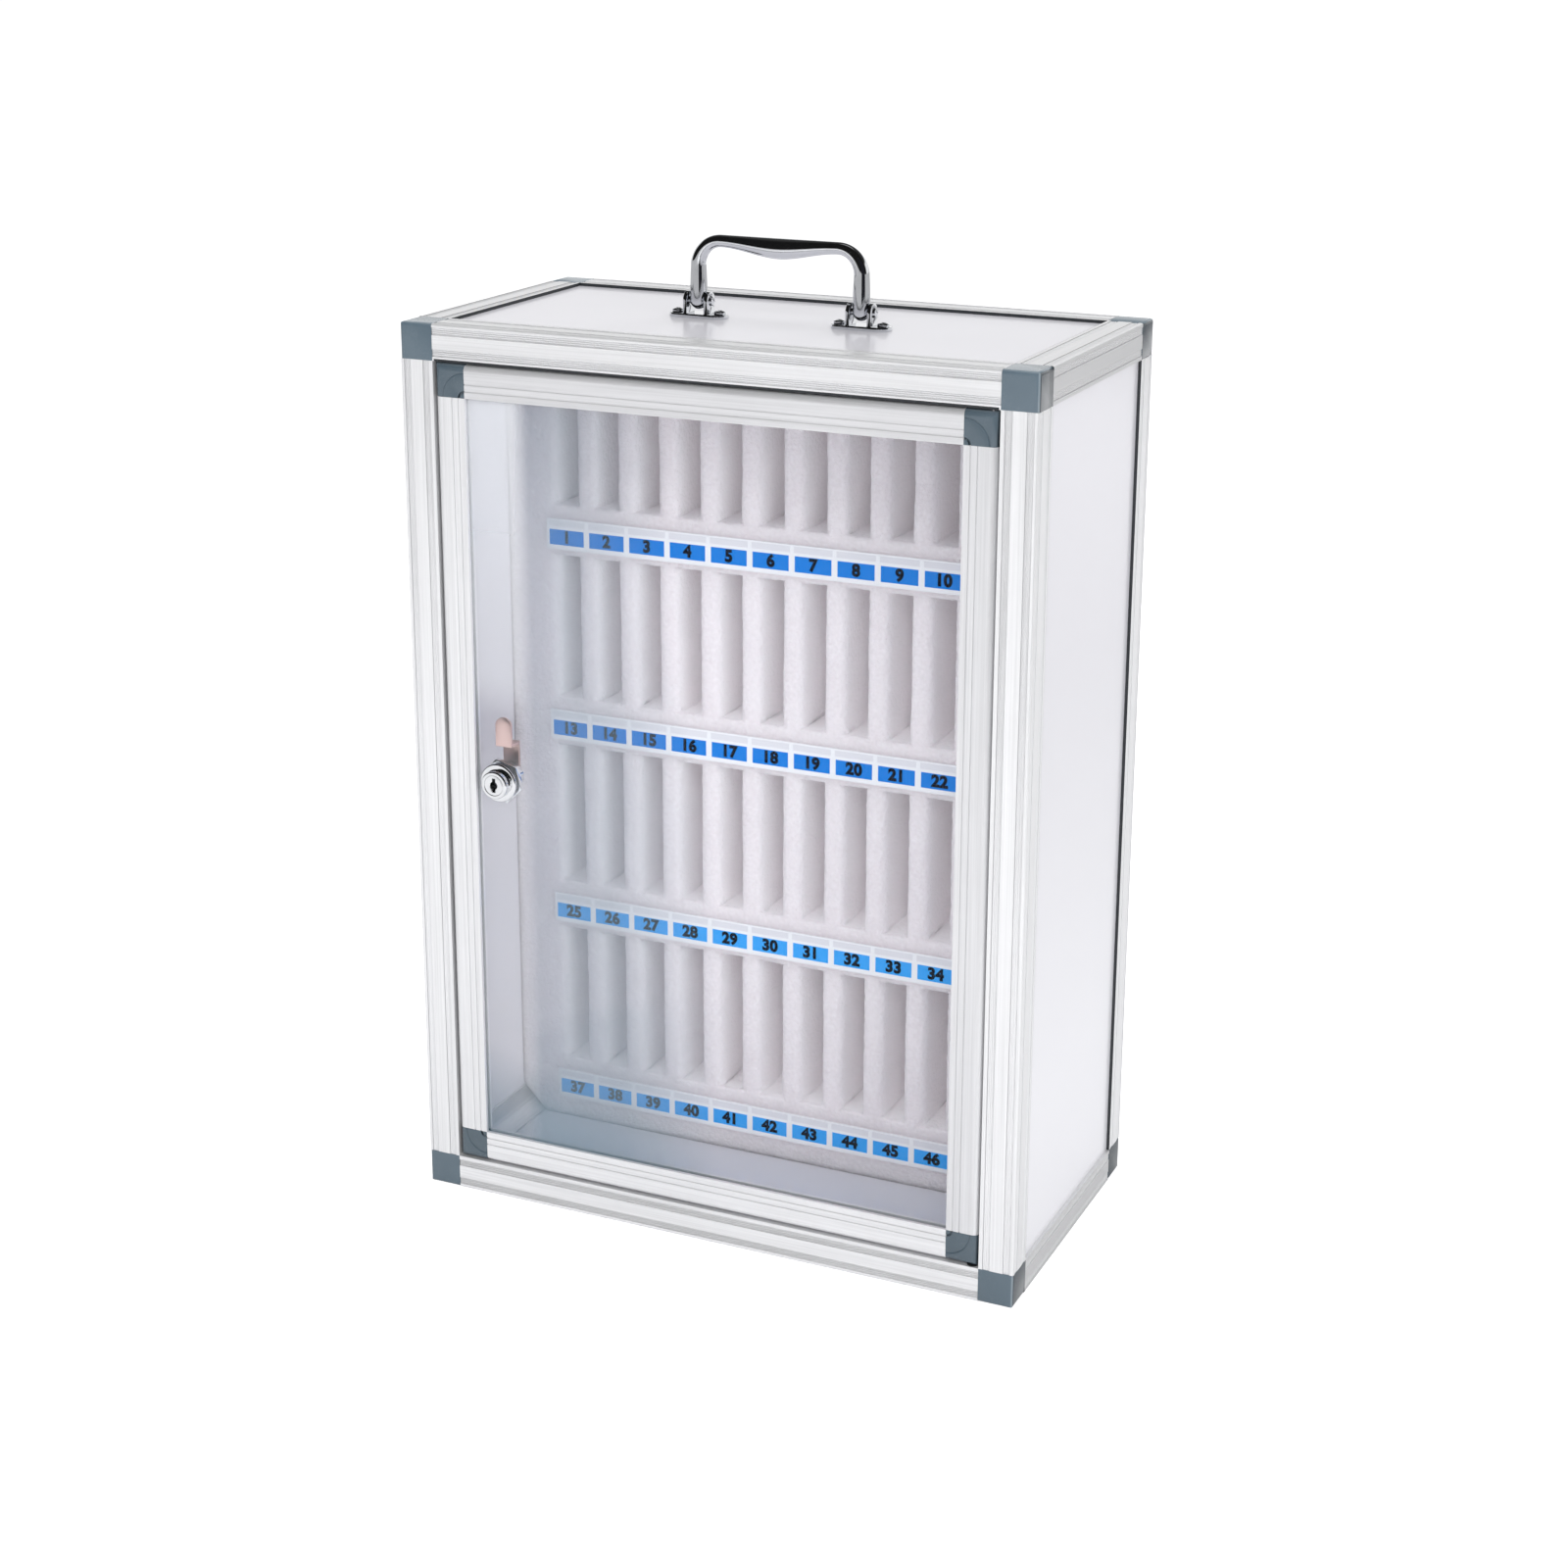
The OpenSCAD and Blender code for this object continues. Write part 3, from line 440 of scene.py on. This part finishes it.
def clear_pane():
    """Clear sheet: see-through with a mirror sheen, and painted reflections: a blue-grey one, which
    also darkens what is behind it like painted shade, towards the lock side and low in its corner,
    and a white one down its edge there, except by the lock's cam. The mirror sheen is stronger
    under the blue-grey one."""
    f = Finish("clear_pane")
    x, _, z = f.axes()
    sway = f.noise(5, 2) - 0.5
    # Painted reflections and shade: the masks below place them on the pane's outer face
    past_edge = x.rise(-0.128, -0.1169)
    from_painted_reflection = x + (z - 0.28) * 0.1 + sway * 0.06
    painted_reflection = (1.0 - from_painted_reflection.rise(-0.0807, -0.0093)) * past_edge
    below = (x + 0.05) * 0.35 - z + sway * 0.05
    lower = below.rise(-0.16, -0.1433)
    into_corner = sway * 0.03 - z - (x + 0.16) * 0.3
    corner = into_corner.rise(-0.11, -0.0475) * (1.0 - x.rise(-0.105, 0.02))
    facing_out = f.parts(f.normal())[1] < -0.5
    grey_reflection_share = (0.01 + painted_reflection * (0.2 + lower * 0.05) + corner * 0.3) * facing_out
    cam_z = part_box("lock_cam")[1].z - 10 * MM
    by_lock = 1.0 - abs(z - cam_z).rise(10 * MM, 35 * MM)
    # Painted white reflection down the edge on the lock side
    white_reflection_share = 0.12 + z.rise(0.22, 0.514) ** 1.6 * 0.26
    white_reflection_share = white_reflection_share * (1.0 - past_edge) * (1.0 - corner) * (1.0 - by_lock * 0.85)
    mirror = f.node("Fresnel", {}, {"IOR": 1.45}) * (0.15 + painted_reflection * 0.35)
    clear = f.node("BsdfTransparent", {}, {"Color": (0.985, 0.992, 1.0, 1.0)})
    gloss = f.node("BsdfAnisotropic", {}, {"Color": (0.9, 0.93, 0.97, 1.0), "Roughness": 0.02})
    # Painted reflections: a blue-grey sheet, which also shades, and a white sheet
    grey_reflection, white = (
        f.node("BsdfPrincipled", {}, {"Base Color": colour, "Roughness": 0.6})
        for colour in ((0.17, 0.25, 0.31, 1.0), (0.8, 0.82, 0.86, 1.0))
    )
    sheet = f.node("MixShader", {}, {0: mirror, 1: clear, 2: gloss})
    with_grey_reflection = f.node("MixShader", {}, {0: grey_reflection_share, 1: sheet, 2: grey_reflection})
    return f.send(f.node("MixShader", {}, {0: white_reflection_share * facing_out, 1: with_grey_reflection, 2: white}))


def chrome(name, colour=(0.77, 0.785, 0.81), rough=0.05):
    """Polished plate with faint wipe marks."""
    f = Finish(name)
    marks = f.noise(220, 4, (1.0, 1.0, 0.3))
    return f.surface(
        Base_Color=f.colour(marks, tuple(c * 0.9 for c in colour), colour),
        Metallic=1.0,
        Roughness=rough + marks * 0.06,
        Normal=f.bump(marks, 0.000004, 0.4),
    )


def plated_cam():
    """Passivated steel in the warm pink of its plating, brown towards the back of the crank."""
    f = Finish("plated_cam")
    _, y, _ = f.axes()
    clouds = f.noise(120, 3)
    lines = f.noise(1400, 2, (1.0, 1.0, 0.04))
    further_back = y.rise(-0.09, -0.0757)
    plate = f.colour(further_back, (0.86, 0.6, 0.55), (0.24, 0.16, 0.13))
    return f.surface(
        Base_Color=f.colour(clouds * 0.35, plate, (0.5, 0.42, 0.38)),
        Metallic=1.0,
        Roughness=0.34 + (lines - 0.5) * 0.2,
        Normal=f.bump(lines, 0.00001, 0.5),
    )


def fastener_steel():
    """Bright plated steel with uneven wear."""
    f = Finish("fastener_steel")
    marks = f.noise(500, 3)
    return f.surface(
        Base_Color=f.colour(marks, (0.6, 0.61, 0.63), (0.74, 0.75, 0.77)),
        Metallic=1.0,
        Roughness=0.16 + marks * 0.14,
    )


def dark_plastic(name, colour):
    """Moulded plastic with a fine grain."""
    f = Finish(name)
    grain = f.noise(1800, 2)
    return f.surface(
        Base_Color=f.colour(grain, tuple(c * 0.7 for c in colour), colour),
        Roughness=0.55 + (grain - 0.5) * 0.2,
        Normal=f.bump(grain, 0.00003, 0.4),
    )


# Nodes of the model

def nodes_named(start):
    """The CAD nodes whose names start like this, or like any of these."""
    return [name for name in sorted(frame["nodes"]) if name.startswith(start)]


def dress(names, material):
    """Gives CAD nodes their finish."""
    for name in names:
        mesh = frame["nodes"][name].data
        mesh.materials.clear()
        mesh.materials.append(material)


def body_of(node):
    """The CAD body that holds a node."""
    for body, holder in frame["bodies"].items():
        if frame["nodes"][node].parent == holder:
            return body
    raise ValueError(node)


def rounded(node, material, bevel):
    """A merged copy of a CAD node that stands for it: flat faces joined, edges sharper than
    35 degrees rounded, and curved faces shaded smoothly."""
    made = bmesh.new()
    made.from_mesh(frame["nodes"][node].data)
    bmesh.ops.remove_doubles(made, verts=made.verts, dist=2 * SAME_PLACE)
    bmesh.ops.dissolve_degenerate(made, edges=made.edges, dist=SAME_PLACE)
    flat = math.radians(0.6)
    bmesh.ops.dissolve_limit(made, angle_limit=flat, verts=made.verts, edges=made.edges)
    mesh = bpy.data.meshes.new(node + "_rounded")
    made.to_mesh(mesh)
    made.free()
    piece = placed(mesh, material, smooth=True)
    edges = piece.modifiers.new("rounded_edges", "BEVEL")
    edges.width = bevel
    edges.segments = 2
    edges.limit_method = "ANGLE"
    edges.angle_limit = math.radians(35)
    edges.harden_normals = True
    edges.use_clamp_overlap = True
    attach(piece, body_of(node))
    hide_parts(node)


# Surfaces

def placed(mesh, material, smooth):
    """An object of the mesh's name in the scene, with this finish."""
    mesh.materials.append(material)
    mesh.polygons.foreach_set("use_smooth", [smooth] * len(mesh.polygons))
    piece = bpy.data.objects.new(mesh.name, mesh)
    bpy.context.scene.collection.objects.link(piece)
    return piece


def new_piece(name, points, faces, material, smooth=True):
    """A piece made from an array of points and lists of their numbers, one list a face."""
    mesh = bpy.data.meshes.new(name)
    mesh.from_pydata(points.tolist(), [], faces)
    return placed(mesh, material, smooth)


def grid_faces(rows, columns, wrap=False):
    """Quads between neighbouring points of a grid that is stored row by row."""
    index = np.arange(rows * columns).reshape(rows, columns)
    if wrap:
        index = np.concatenate([index, index[:, :1]], axis=1)
    a, b = index[:-1, :-1], index[:-1, 1:]
    c, d = index[1:, 1:], index[1:, :-1]
    return np.stack([a, b, c, d], axis=-1).reshape(-1, 4)


def tidy_mesh(piece):
    """Merges doubled points and turns every face outwards."""
    made = bmesh.new()
    made.from_mesh(piece.data)
    bmesh.ops.remove_doubles(made, verts=made.verts, dist=SAME_PLACE)
    bmesh.ops.dissolve_degenerate(made, edges=made.edges, dist=SAME_PLACE / 10)
    bmesh.ops.recalc_face_normals(made, faces=made.faces)
    made.to_mesh(piece.data)
    made.free()


def lattice_noise(points, cell, seed):
    """Smooth noise from -1 to 1: random values at the corners of cubes, blended inside each
    cube. A corner picks its value from a table by mixing its three whole numbers."""
    rng = np.random.default_rng(seed)
    table = rng.uniform(-1, 1, 4096)
    mix_x, mix_y, mix_z = 73856093, 19349663, 83492791
    scaled = points / cell
    base = np.floor(scaled).astype(np.int64)
    t = scaled - base
    t = t * t * (3 - 2 * t)
    total = np.zeros(len(points))
    for corner in np.ndindex(2, 2, 2):
        at = base + np.array(corner)
        pick = (at[:, 0] * mix_x) ^ (at[:, 1] * mix_y) ^ (at[:, 2] * mix_z)
        weight = np.prod(np.where(np.array(corner) == 1, t, 1 - t), axis=1)
        total += table[pick % len(table)] * weight
    return total


def slotted_line(low, high, slots, deep, step, lip):
    """Places along one direction of the foam's face, and how deep a slot may be at each.

    The face is level; before each slot it turns over a quarter circle of radius lip, then a
    wall runs down at one place to the slot's floor, and the far side mirrors that."""
    turn = np.radians([12, 26, 42, 58, 74, 90])
    lip_at, lip_deep = lip * np.sin(turn), lip * (1 - np.cos(turn))
    wall = lip + (deep - lip) * np.array([0.05, 0.18, 0.48, 1.0])
    places, depths = [], []
    start = low
    for near, far in slots:
        count = max(2, round((near - lip - start) / step) + 1)
        places.append(np.linspace(start, near - lip, count))
        depths.append(np.zeros(count))
        inside = max(2, round((far - near) / step) + 1)
        down = np.concatenate([near - lip + lip_at, np.full(len(wall), near)])
        down_deep = np.concatenate([lip_deep, wall])
        places += [down, np.linspace(near, far, inside)[1:-1], (near + far - down)[::-1]]
        depths += [down_deep, np.full(inside - 2, deep), down_deep[::-1]]
        start = far + lip
    count = max(2, round((high - start) / step) + 1)
    places.append(np.linspace(start, high, count))
    depths.append(np.zeros(count))
    return np.concatenate(places), np.concatenate(depths)


def foam_rack(material):
    """The foam block, as one surface over a grid of places across and up its face.

    A point's depth is the lesser of what its column and its row allow, so that slots open only
    where both do. The edges of the face narrow towards the corners, along the extrusions."""
    low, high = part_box("foam_bands")
    rows = [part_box(f"foam_row_{n}") for n in range(ROWS, 0, -1)]
    first_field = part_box("label_strip_1")[0].x
    centres = first_field + SLOT_PITCH * (np.arange(COLUMNS) + 0.5)
    across_slots = [(c - SLOT_W / 2, c + SLOT_W / 2) for c in centres]
    up_slots = [(bottom.z, top.z) for bottom, top in rows]
    deep = high.y - low.y - 4 * HAIR
    x, x_deep = slotted_line(low.x, high.x, across_slots, deep, FOAM_STEP_X, FOAM_LIP)
    z, z_deep = slotted_line(low.z, high.z, up_slots, deep, FOAM_STEP_Z, FOAM_END_LIP)
    px, pz = np.meshgrid(x, z)
    depth = np.minimum(x_deep[None, :], z_deep[:, None])
    from_end = np.minimum(pz - low.z, high.z - pz)
    narrow = np.clip(FOAM_CHAMFER - from_end, 0, FOAM_CHAMFER)
    left_margin = (-1, across_slots[0][0] - FOAM_LIP, low.x)
    right_margin = (1, across_slots[-1][1] + FOAM_LIP, high.x)
    for side, edge, limit in (left_margin, right_margin):
        share = np.clip((px - edge) / (limit - edge), 0, 1)
        px = px - side * narrow * share
    points = np.stack([px, low.y + depth, pz], axis=-1).reshape(-1, 3)
    return close_foam("foam_rack", points, len(z), len(x), high.y, material)


def close_foam(name, points, rows, columns, back_y, material):
    """Closes a foam face with its sides and back, and gives it the ripple of cut foam.

    The sides run straight back from the rim to a shoulder, then draw in at 45 degrees up to
    the back. Every point of the face but the rim's moves by two smooth noises, a short one and
    a long one."""
    index = np.arange(rows * columns).reshape(rows, columns)
    rim = np.concatenate([index[0, :], index[1:, -1], index[-1, -2::-1], index[-2:0:-1, 0]])
    edge = points[rim]
    middle = (points.min(0) + points.max(0)) / 2
    half = (points.max(0) - points.min(0)) / 2
    depth_left = cad_high.y - (PANEL_RECESS + PANEL_T) - back_y
    inset = FOAM_CHAMFER - depth_left
    shoulder = edge.copy()
    shoulder[:, 1] = back_y - inset
    back = edge.copy()
    back[:, 1] = back_y - HAIR
    back[:, 0] = middle[0] + (edge[:, 0] - middle[0]) * (1 - inset / half[0])
    back[:, 2] = middle[2] + (edge[:, 2] - middle[2]) * (1 - inset / half[2])
    ripple = np.stack([lattice_noise(points, 3.4 * MM, seed) for seed in (11, 12, 13)], axis=1)
    sway = np.stack([lattice_noise(points, 21 * MM, seed) for seed in (21, 22, 23)], axis=1)
    ripple_size = np.array([0.26, 0.16, 0.26]) * MM
    sway_size = np.array([0.3, 0.2, 0.3]) * MM
    moved = points + ripple * ripple_size + sway * sway_size
    moved[rim] = edge
    moved[:, 1] = np.minimum(moved[:, 1], back_y - 2 * HAIR)
    total, count = len(points), len(rim)
    loops = [np.append(rim, rim[0])]
    loops += [np.append(start + np.arange(count), start) for start in (total, total + count)]
    sides = [
        np.stack([a[:-1], a[1:], b[1:], b[:-1]], axis=-1) for a, b in zip(loops[:-1], loops[1:])
    ]
    faces = np.concatenate([grid_faces(rows, columns)] + sides).tolist()
    faces.append(loops[2][:-1].tolist())
    piece = new_piece(name, np.concatenate([moved, shoulder, back]), faces, material)
    tidy_mesh(piece)
    return piece


def foam_backing(material):
    """The plain sheet behind the slots, as two rings round it, of which the back one is drawn
    in by the sheet's thickness, each closed by one face."""
    low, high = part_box("foam_back_sheet")
    steps = np.linspace(0, 1, 24)
    corners = np.array([[-1, -1], [1, -1], [1, 1], [-1, 1]])
    outline = np.concatenate([
        a + (b - a) * steps[:-1, None] for a, b in zip(corners, np.roll(corners, -1, axis=0))
    ])
    middle = (np.array(low) + np.array(high)) / 2
    half = (np.array(high) - np.array(low)) / 2
    rings = []
    for y, inset in ((low.y + HAIR, 0.0), (high.y - HAIR, high.y - low.y)):
        size = np.array([half[0] - inset, half[2] - inset])
        flat = outline * size + np.array([middle[0], middle[2]])
        rings.append(np.stack([flat[:, 0], np.full(len(flat), y), flat[:, 1]], axis=1))
    count = len(outline)
    sides = grid_faces(2, count, wrap=True).tolist()
    ends = [list(range(count)), list(range(count, 2 * count))]
    points = np.concatenate(rings)
    piece = new_piece("foam_backing", points, sides + ends, material, smooth=False)
    tidy_mesh(piece)
    return piece


def numerals(row, material):
    """The twelve numbers of one row, as flat figures on the bars of its strip."""
    low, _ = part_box(f"label_strip_{row}")
    upright = Matrix.Rotation(math.radians(90), 4, "X")
    joined = bmesh.new()
    for column in range(COLUMNS):
        text = bpy.data.curves.new("number", "FONT")
        text.body = str((row - 1) * COLUMNS + column + 1)
        text.align_x = "CENTER"
        text.align_y = "CENTER"
        text.size = 10.4 * MM
        text.offset = 0.55 * MM
        text.extrude = 0.04 * MM
        text.space_character = 1.06
        text.resolution_u = 6
        shape = bpy.data.objects.new("number", text)
        mesh = bpy.data.meshes.new_from_object(shape)
        bpy.data.objects.remove(shape)
        x = low.x + SLOT_PITCH * (column + 0.5)
        place = Matrix.Translation((x, low.y - HAIR / 2, low.z + BAR_UP + BAR_H / 2))
        mesh.transform(place @ upright)
        joined.from_mesh(mesh)
        bpy.data.meshes.remove(mesh)
    bmesh.ops.remove_doubles(joined, verts=joined.verts, dist=SAME_PLACE / 10)
    mesh = bpy.data.meshes.new(f"numerals_row_{row}")
    joined.to_mesh(mesh)
    joined.free()
    mesh.materials.append(material)
    piece = bpy.data.objects.new(f"numerals_row_{row}", mesh)
    bpy.context.scene.collection.objects.link(piece)
    return piece


def smooth_step(t):
    """A rise from 0 to 1 over 0 to 1, level at both ends: three times t squared, less twice t
    cubed."""
    t = np.clip(t, 0, 1)
    return t * t * (3 - 2 * t)


def carry_bail(material):
    """The handle as a round tube along a middle line: rounded ends about the pivots, tapering
    legs, quarter-circle bends, and a grip whose belly hangs below a straight top.

    The right half runs from the pivot up to the middle of the grip, and the left half mirrors
    it. At each place, lean is the angle of the tube's cross-section from level. A point of the
    tube is the line's place, moved by the radius times the cosine of the angle round the tube
    along the lean, and by the radius times its sine towards the back."""
    half_span, rise, bend = 53 * MM, 40 * MM, 15 * MM
    leg, thin, belly, taper = 5.25 * MM, 3.7 * MM, 6.2 * MM, 0.6 * MM
    bend_z = rise - thin - bend
    cap = np.radians(np.linspace(4, 86, 12))
    t_leg = np.linspace(0, 1, 10)[:-1]
    t_bend = np.linspace(0, 1, 28)[:-1]
    t_grip = np.linspace(0, 1, 32)
    turn = np.radians(90 * t_bend)
    grip_r = thin + (belly - thin) * smooth_step(t_grip)
    x = np.concatenate([
        np.full(len(cap) + len(t_leg), half_span),
        half_span - bend * (1 - np.cos(turn)), (half_span - bend) * (1 - t_grip),
    ])
    z = np.concatenate([
        -leg * np.cos(cap), bend_z * t_leg, bend_z + bend * np.sin(turn), rise - grip_r,
    ])
    lean = np.concatenate([
        np.zeros(len(cap) + len(t_leg)), turn, np.full(len(t_grip), np.pi / 2),
    ])
    radius = np.concatenate([
        leg * np.sin(cap), leg - taper * t_leg ** 2,
        leg - taper + (thin - leg + taper) * smooth_step(t_bend), grip_r,
    ])
    x = np.concatenate([x, -x[-2::-1]])
    z = np.concatenate([z, z[-2::-1]])
    lean = np.concatenate([lean, np.pi - lean[-2::-1]])
    radius = np.concatenate([radius, radius[-2::-1]])
    around = np.radians(np.arange(0, 360, 7.5))
    out = radius[:, None] * np.cos(around)
    points = np.stack([
        x[:, None] + out * np.cos(lean)[:, None],
        radius[:, None] * np.sin(around),
        PIVOT_Z + z[:, None] + out * np.sin(lean)[:, None],
    ], axis=-1).reshape(-1, 3)
    count = len(around)
    faces = grid_faces(len(x), count, wrap=True).tolist()
    faces += [list(range(count)), list(range(len(points) - count, len(points)))]
    piece = new_piece("carry_bail", points, faces, material)
    tidy_mesh(piece)
    return piece


# Stage

def floor_material():
    """White floor that takes the object's shadow, lifted to white for the camera and a little
    for polished surfaces."""
    f = Finish("floor_white")
    camera = f.node("LightPath", output="Is Camera Ray")
    gloss = camera.beside("Is Glossy Ray")
    diffuse = f.node("BsdfDiffuse", {}, {"Color": (0.8, 0.8, 0.81, 1.0)})
    strength = camera * 0.66 + gloss * 0.15
    lift = f.node("Emission", {}, {"Color": (1.0, 1.0, 1.0, 1.0), "Strength": strength})
    return f.send(f.node("AddShader", {}, {0: diffuse, 1: lift}))


def make_floor():
    """A level square 60 metres wide that the object stands on."""
    reach = 30.0
    square = [[-reach, -reach, 0], [reach, -reach, 0], [reach, reach, 0], [-reach, reach, 0]]
    floor = new_piece("floor", np.array(square), [[0, 1, 2, 3]], floor_material(), smooth=False)


def make_world():
    """White for the camera and an even fill for matt surfaces. Gloss sees a dark studio in
    front, and a white backdrop under a dark ceiling behind."""
    world = bpy.data.worlds.new("studio")
    bpy.context.scene.world = world
    w = Shading(world, "OutputWorld")
    camera = w.node("LightPath", output="Is Camera Ray")
    _, backwards, upwards = w.parts(w.node("TexCoord", output="Generated"))
    backdrop = w.node("ValToRGB", {"stops": BACKDROP}, {0: upwards})
    white = camera.larger(camera.beside("Is Transmission Ray"))
    gloss = camera.beside("Is Glossy Ray") * (1.0 - white)
    matt = 1.0 - white - gloss
    seen = (backwards * 4.0).clipped() * backdrop + STUDIO_DARK
    level = white + matt * FILL_LIGHT + gloss * seen
    w.send(w.node("Background", {}, {"Color": (1.0, 1.0, 1.0, 1.0), "Strength": level}))


def soft_light(name, place, size, watts):
    """A square lamp turned to the object's middle, which polished surfaces don't see."""
    lamp = bpy.data.lights.new(name, "AREA")
    lamp.shape = "SQUARE"
    lamp.size = size
    lamp.energy = watts
    holder = bpy.data.objects.new(name, lamp)
    holder.location = place
    towards = Vector((0, 0, 0.3)) - Vector(place)
    holder.rotation_euler = towards.to_track_quat("-Z", "Y").to_euler()
    holder.visible_glossy = False
    bpy.context.scene.collection.objects.link(holder)


def dark_card(name, across, top):
    """A black studio card that only gloss sees, for the dark streaks in polished metal. It
    stands on the floor over a line between two places."""
    f = Finish(name)
    glow = f.node("Emission", {}, {"Color": (0.015, 0.015, 0.02, 1.0), "Strength": 1.0})
    (ax, ay), (bx, by) = across
    corners = np.array([[ax, ay, 0.0], [bx, by, 0.0], [bx, by, top], [ax, ay, top]])
    card = new_piece(name, corners, [[0, 1, 2, 3]], f.send(glow), smooth=False)
    for ray in ("camera", "diffuse", "shadow", "transmission", "volume_scatter"):
        setattr(card, "visible_" + ray, False)


def place_camera():
    """The photograph's viewpoint, from a fit to the straight edges of the case: its angles in
    radians, its place in metres, and its focal length and centre in the photograph's pixels."""
    azimuth, elevation, roll = 0.4235, 0.2939, 0.0037
    position = Vector((0.6731, -1.4793, 0.8187))
    focal_px, centre_x_px, centre_y_px = 2798.6, 803.4, 709.1
    image_px, sensor_mm = 1600.0, 36.0
    back = Vector((
        math.sin(azimuth) * math.cos(elevation),
        -math.cos(azimuth) * math.cos(elevation),
        math.sin(elevation),
    ))
    level = Vector((0, 0, 1)).cross(back).normalized()
    upright = back.cross(level)
    right = level * math.cos(roll) + upright * math.sin(roll)
    up = upright * math.cos(roll) - level * math.sin(roll)
    camera = bpy.data.cameras.new("camera")
    camera.sensor_width = sensor_mm
    camera.lens = focal_px / image_px * sensor_mm
    camera.shift_x = (image_px / 2 - centre_x_px) / image_px
    camera.shift_y = (centre_y_px - image_px / 2) / image_px
    camera.clip_start, camera.clip_end = 0.05, 60.0
    holder = bpy.data.objects.new("camera", camera)
    turn = Matrix((right, up, back)).transposed()
    holder.matrix_world = Matrix.Translation(position) @ turn.to_4x4()
    bpy.context.scene.collection.objects.link(holder)
    bpy.context.scene.camera = holder


place_camera()

case_silver = (0.9, 0.903, 0.917)
door_silver = (0.88, 0.883, 0.9)
# A darker copy of the door's silver: painted shade on the door's top rail and hinge stile
door_silver_shaded = (0.77, 0.772, 0.79)
# The side shares darken faces that look sideways, as painted shade
for name, run, silver, side, start in (
    ("case_upright", "z", case_silver, 0.76, "post_"),
    ("case_across", "x", case_silver, 1.0, ("rail_front", "rail_back")),
    ("case_deep", "y", case_silver, 0.56, ("rail_left", "rail_right")),
    ("door_lock_side", "z", door_silver, 0.92, "door_stile_lock"),
    ("door_hinge_side", "z", door_silver_shaded, 0.92, "door_stile_hinge"),
    ("door_bottom", "x", door_silver, 1.0, "door_rail_bottom"),
    ("door_top", "x", door_silver_shaded, 1.0, "door_rail_top"),
):
    with_painted_shade = name.startswith("case")
    finish = drawn_aluminium("drawn_aluminium_" + name, run, silver, side, with_painted_shade)
    dress(nodes_named(start), finish)
dress(nodes_named("panel_"), coated_sheet())
dress(nodes_named("label_strip"), label_card())
dress(["door_pane"], clear_pane())

handle_chrome = chrome("handle_chrome")
lock_chrome = chrome("lock_chrome", (0.8, 0.81, 0.83), 0.08)
steel = fastener_steel()
case_slate = corner_plastic("corner_plastic")
door_slate = corner_plastic("door_corner_plastic", 0.78)
black = dark_plastic("bush_plastic", (0.02, 0.02, 0.022))
for slot, finish, bevel, start in (
    ("corner_plastic", case_slate, 0.7 * MM, "corner_"),
    ("corner_plastic", door_slate, 0.12 * MM, "door_corner"),
    ("handle_chrome", handle_chrome, 0.3 * MM, "handle_bracket"),
    ("steel_fasteners", handle_chrome, 0.15 * MM, ("handle_screws", "handle_pins")),
    ("steel_fasteners", steel, 0.15 * MM, ("handle_nuts", "cam_screw", "hinge_pins")),
    ("lock_chrome", lock_chrome, 0.2 * MM, ("lock_housing", "lock_nut", "lock_core")),
    ("cam_metal", plated_cam(), 0.25 * MM, "lock_cam"),
    ("bush_plastic", black, 0.2 * MM, "hinge_bushes"),
):
    for node in nodes_named(start):
        rounded(node, finish, bevel)

foam = bead_foam()
rack = foam_rack(foam)
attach(rack, "case")
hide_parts("foam_bands", "foam_row_1", "foam_row_2", "foam_row_3", "foam_row_4")
backing = foam_backing(foam)
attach(backing, "case")
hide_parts("foam_back_sheet")

ink = numeral_ink()
for row in range(1, ROWS + 1):
    figures = numerals(row, ink)
    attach(figures, "case")

bail = carry_bail(handle_chrome)
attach(bail, "handle")
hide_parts("handle_bail")

make_floor()
make_world()
for name, place, size, watts in (
    ("front_left", (-1.5, -2.8, 1.0), 1.4, 14),
    ("front_right", (1.2, -3.0, 0.9), 1.4, 16),
    ("front_high", (0.5, -1.9, 2.1), 1.2, 22),
    ("right", (2.45, -1.65, 1.0), 1.6, 31),
    ("back", (0.9, 2.9, 1.3), 1.6, 34),
    ("overhead", (-0.3, 0.4, 2.6), 1.8, 21),
):
    soft_light(name, place, size, watts)
dark_card("card_right", ((0.56, -1.37), (1.37, -0.49)), 1.6)

bpy.context.scene.view_settings.view_transform = "Standard"
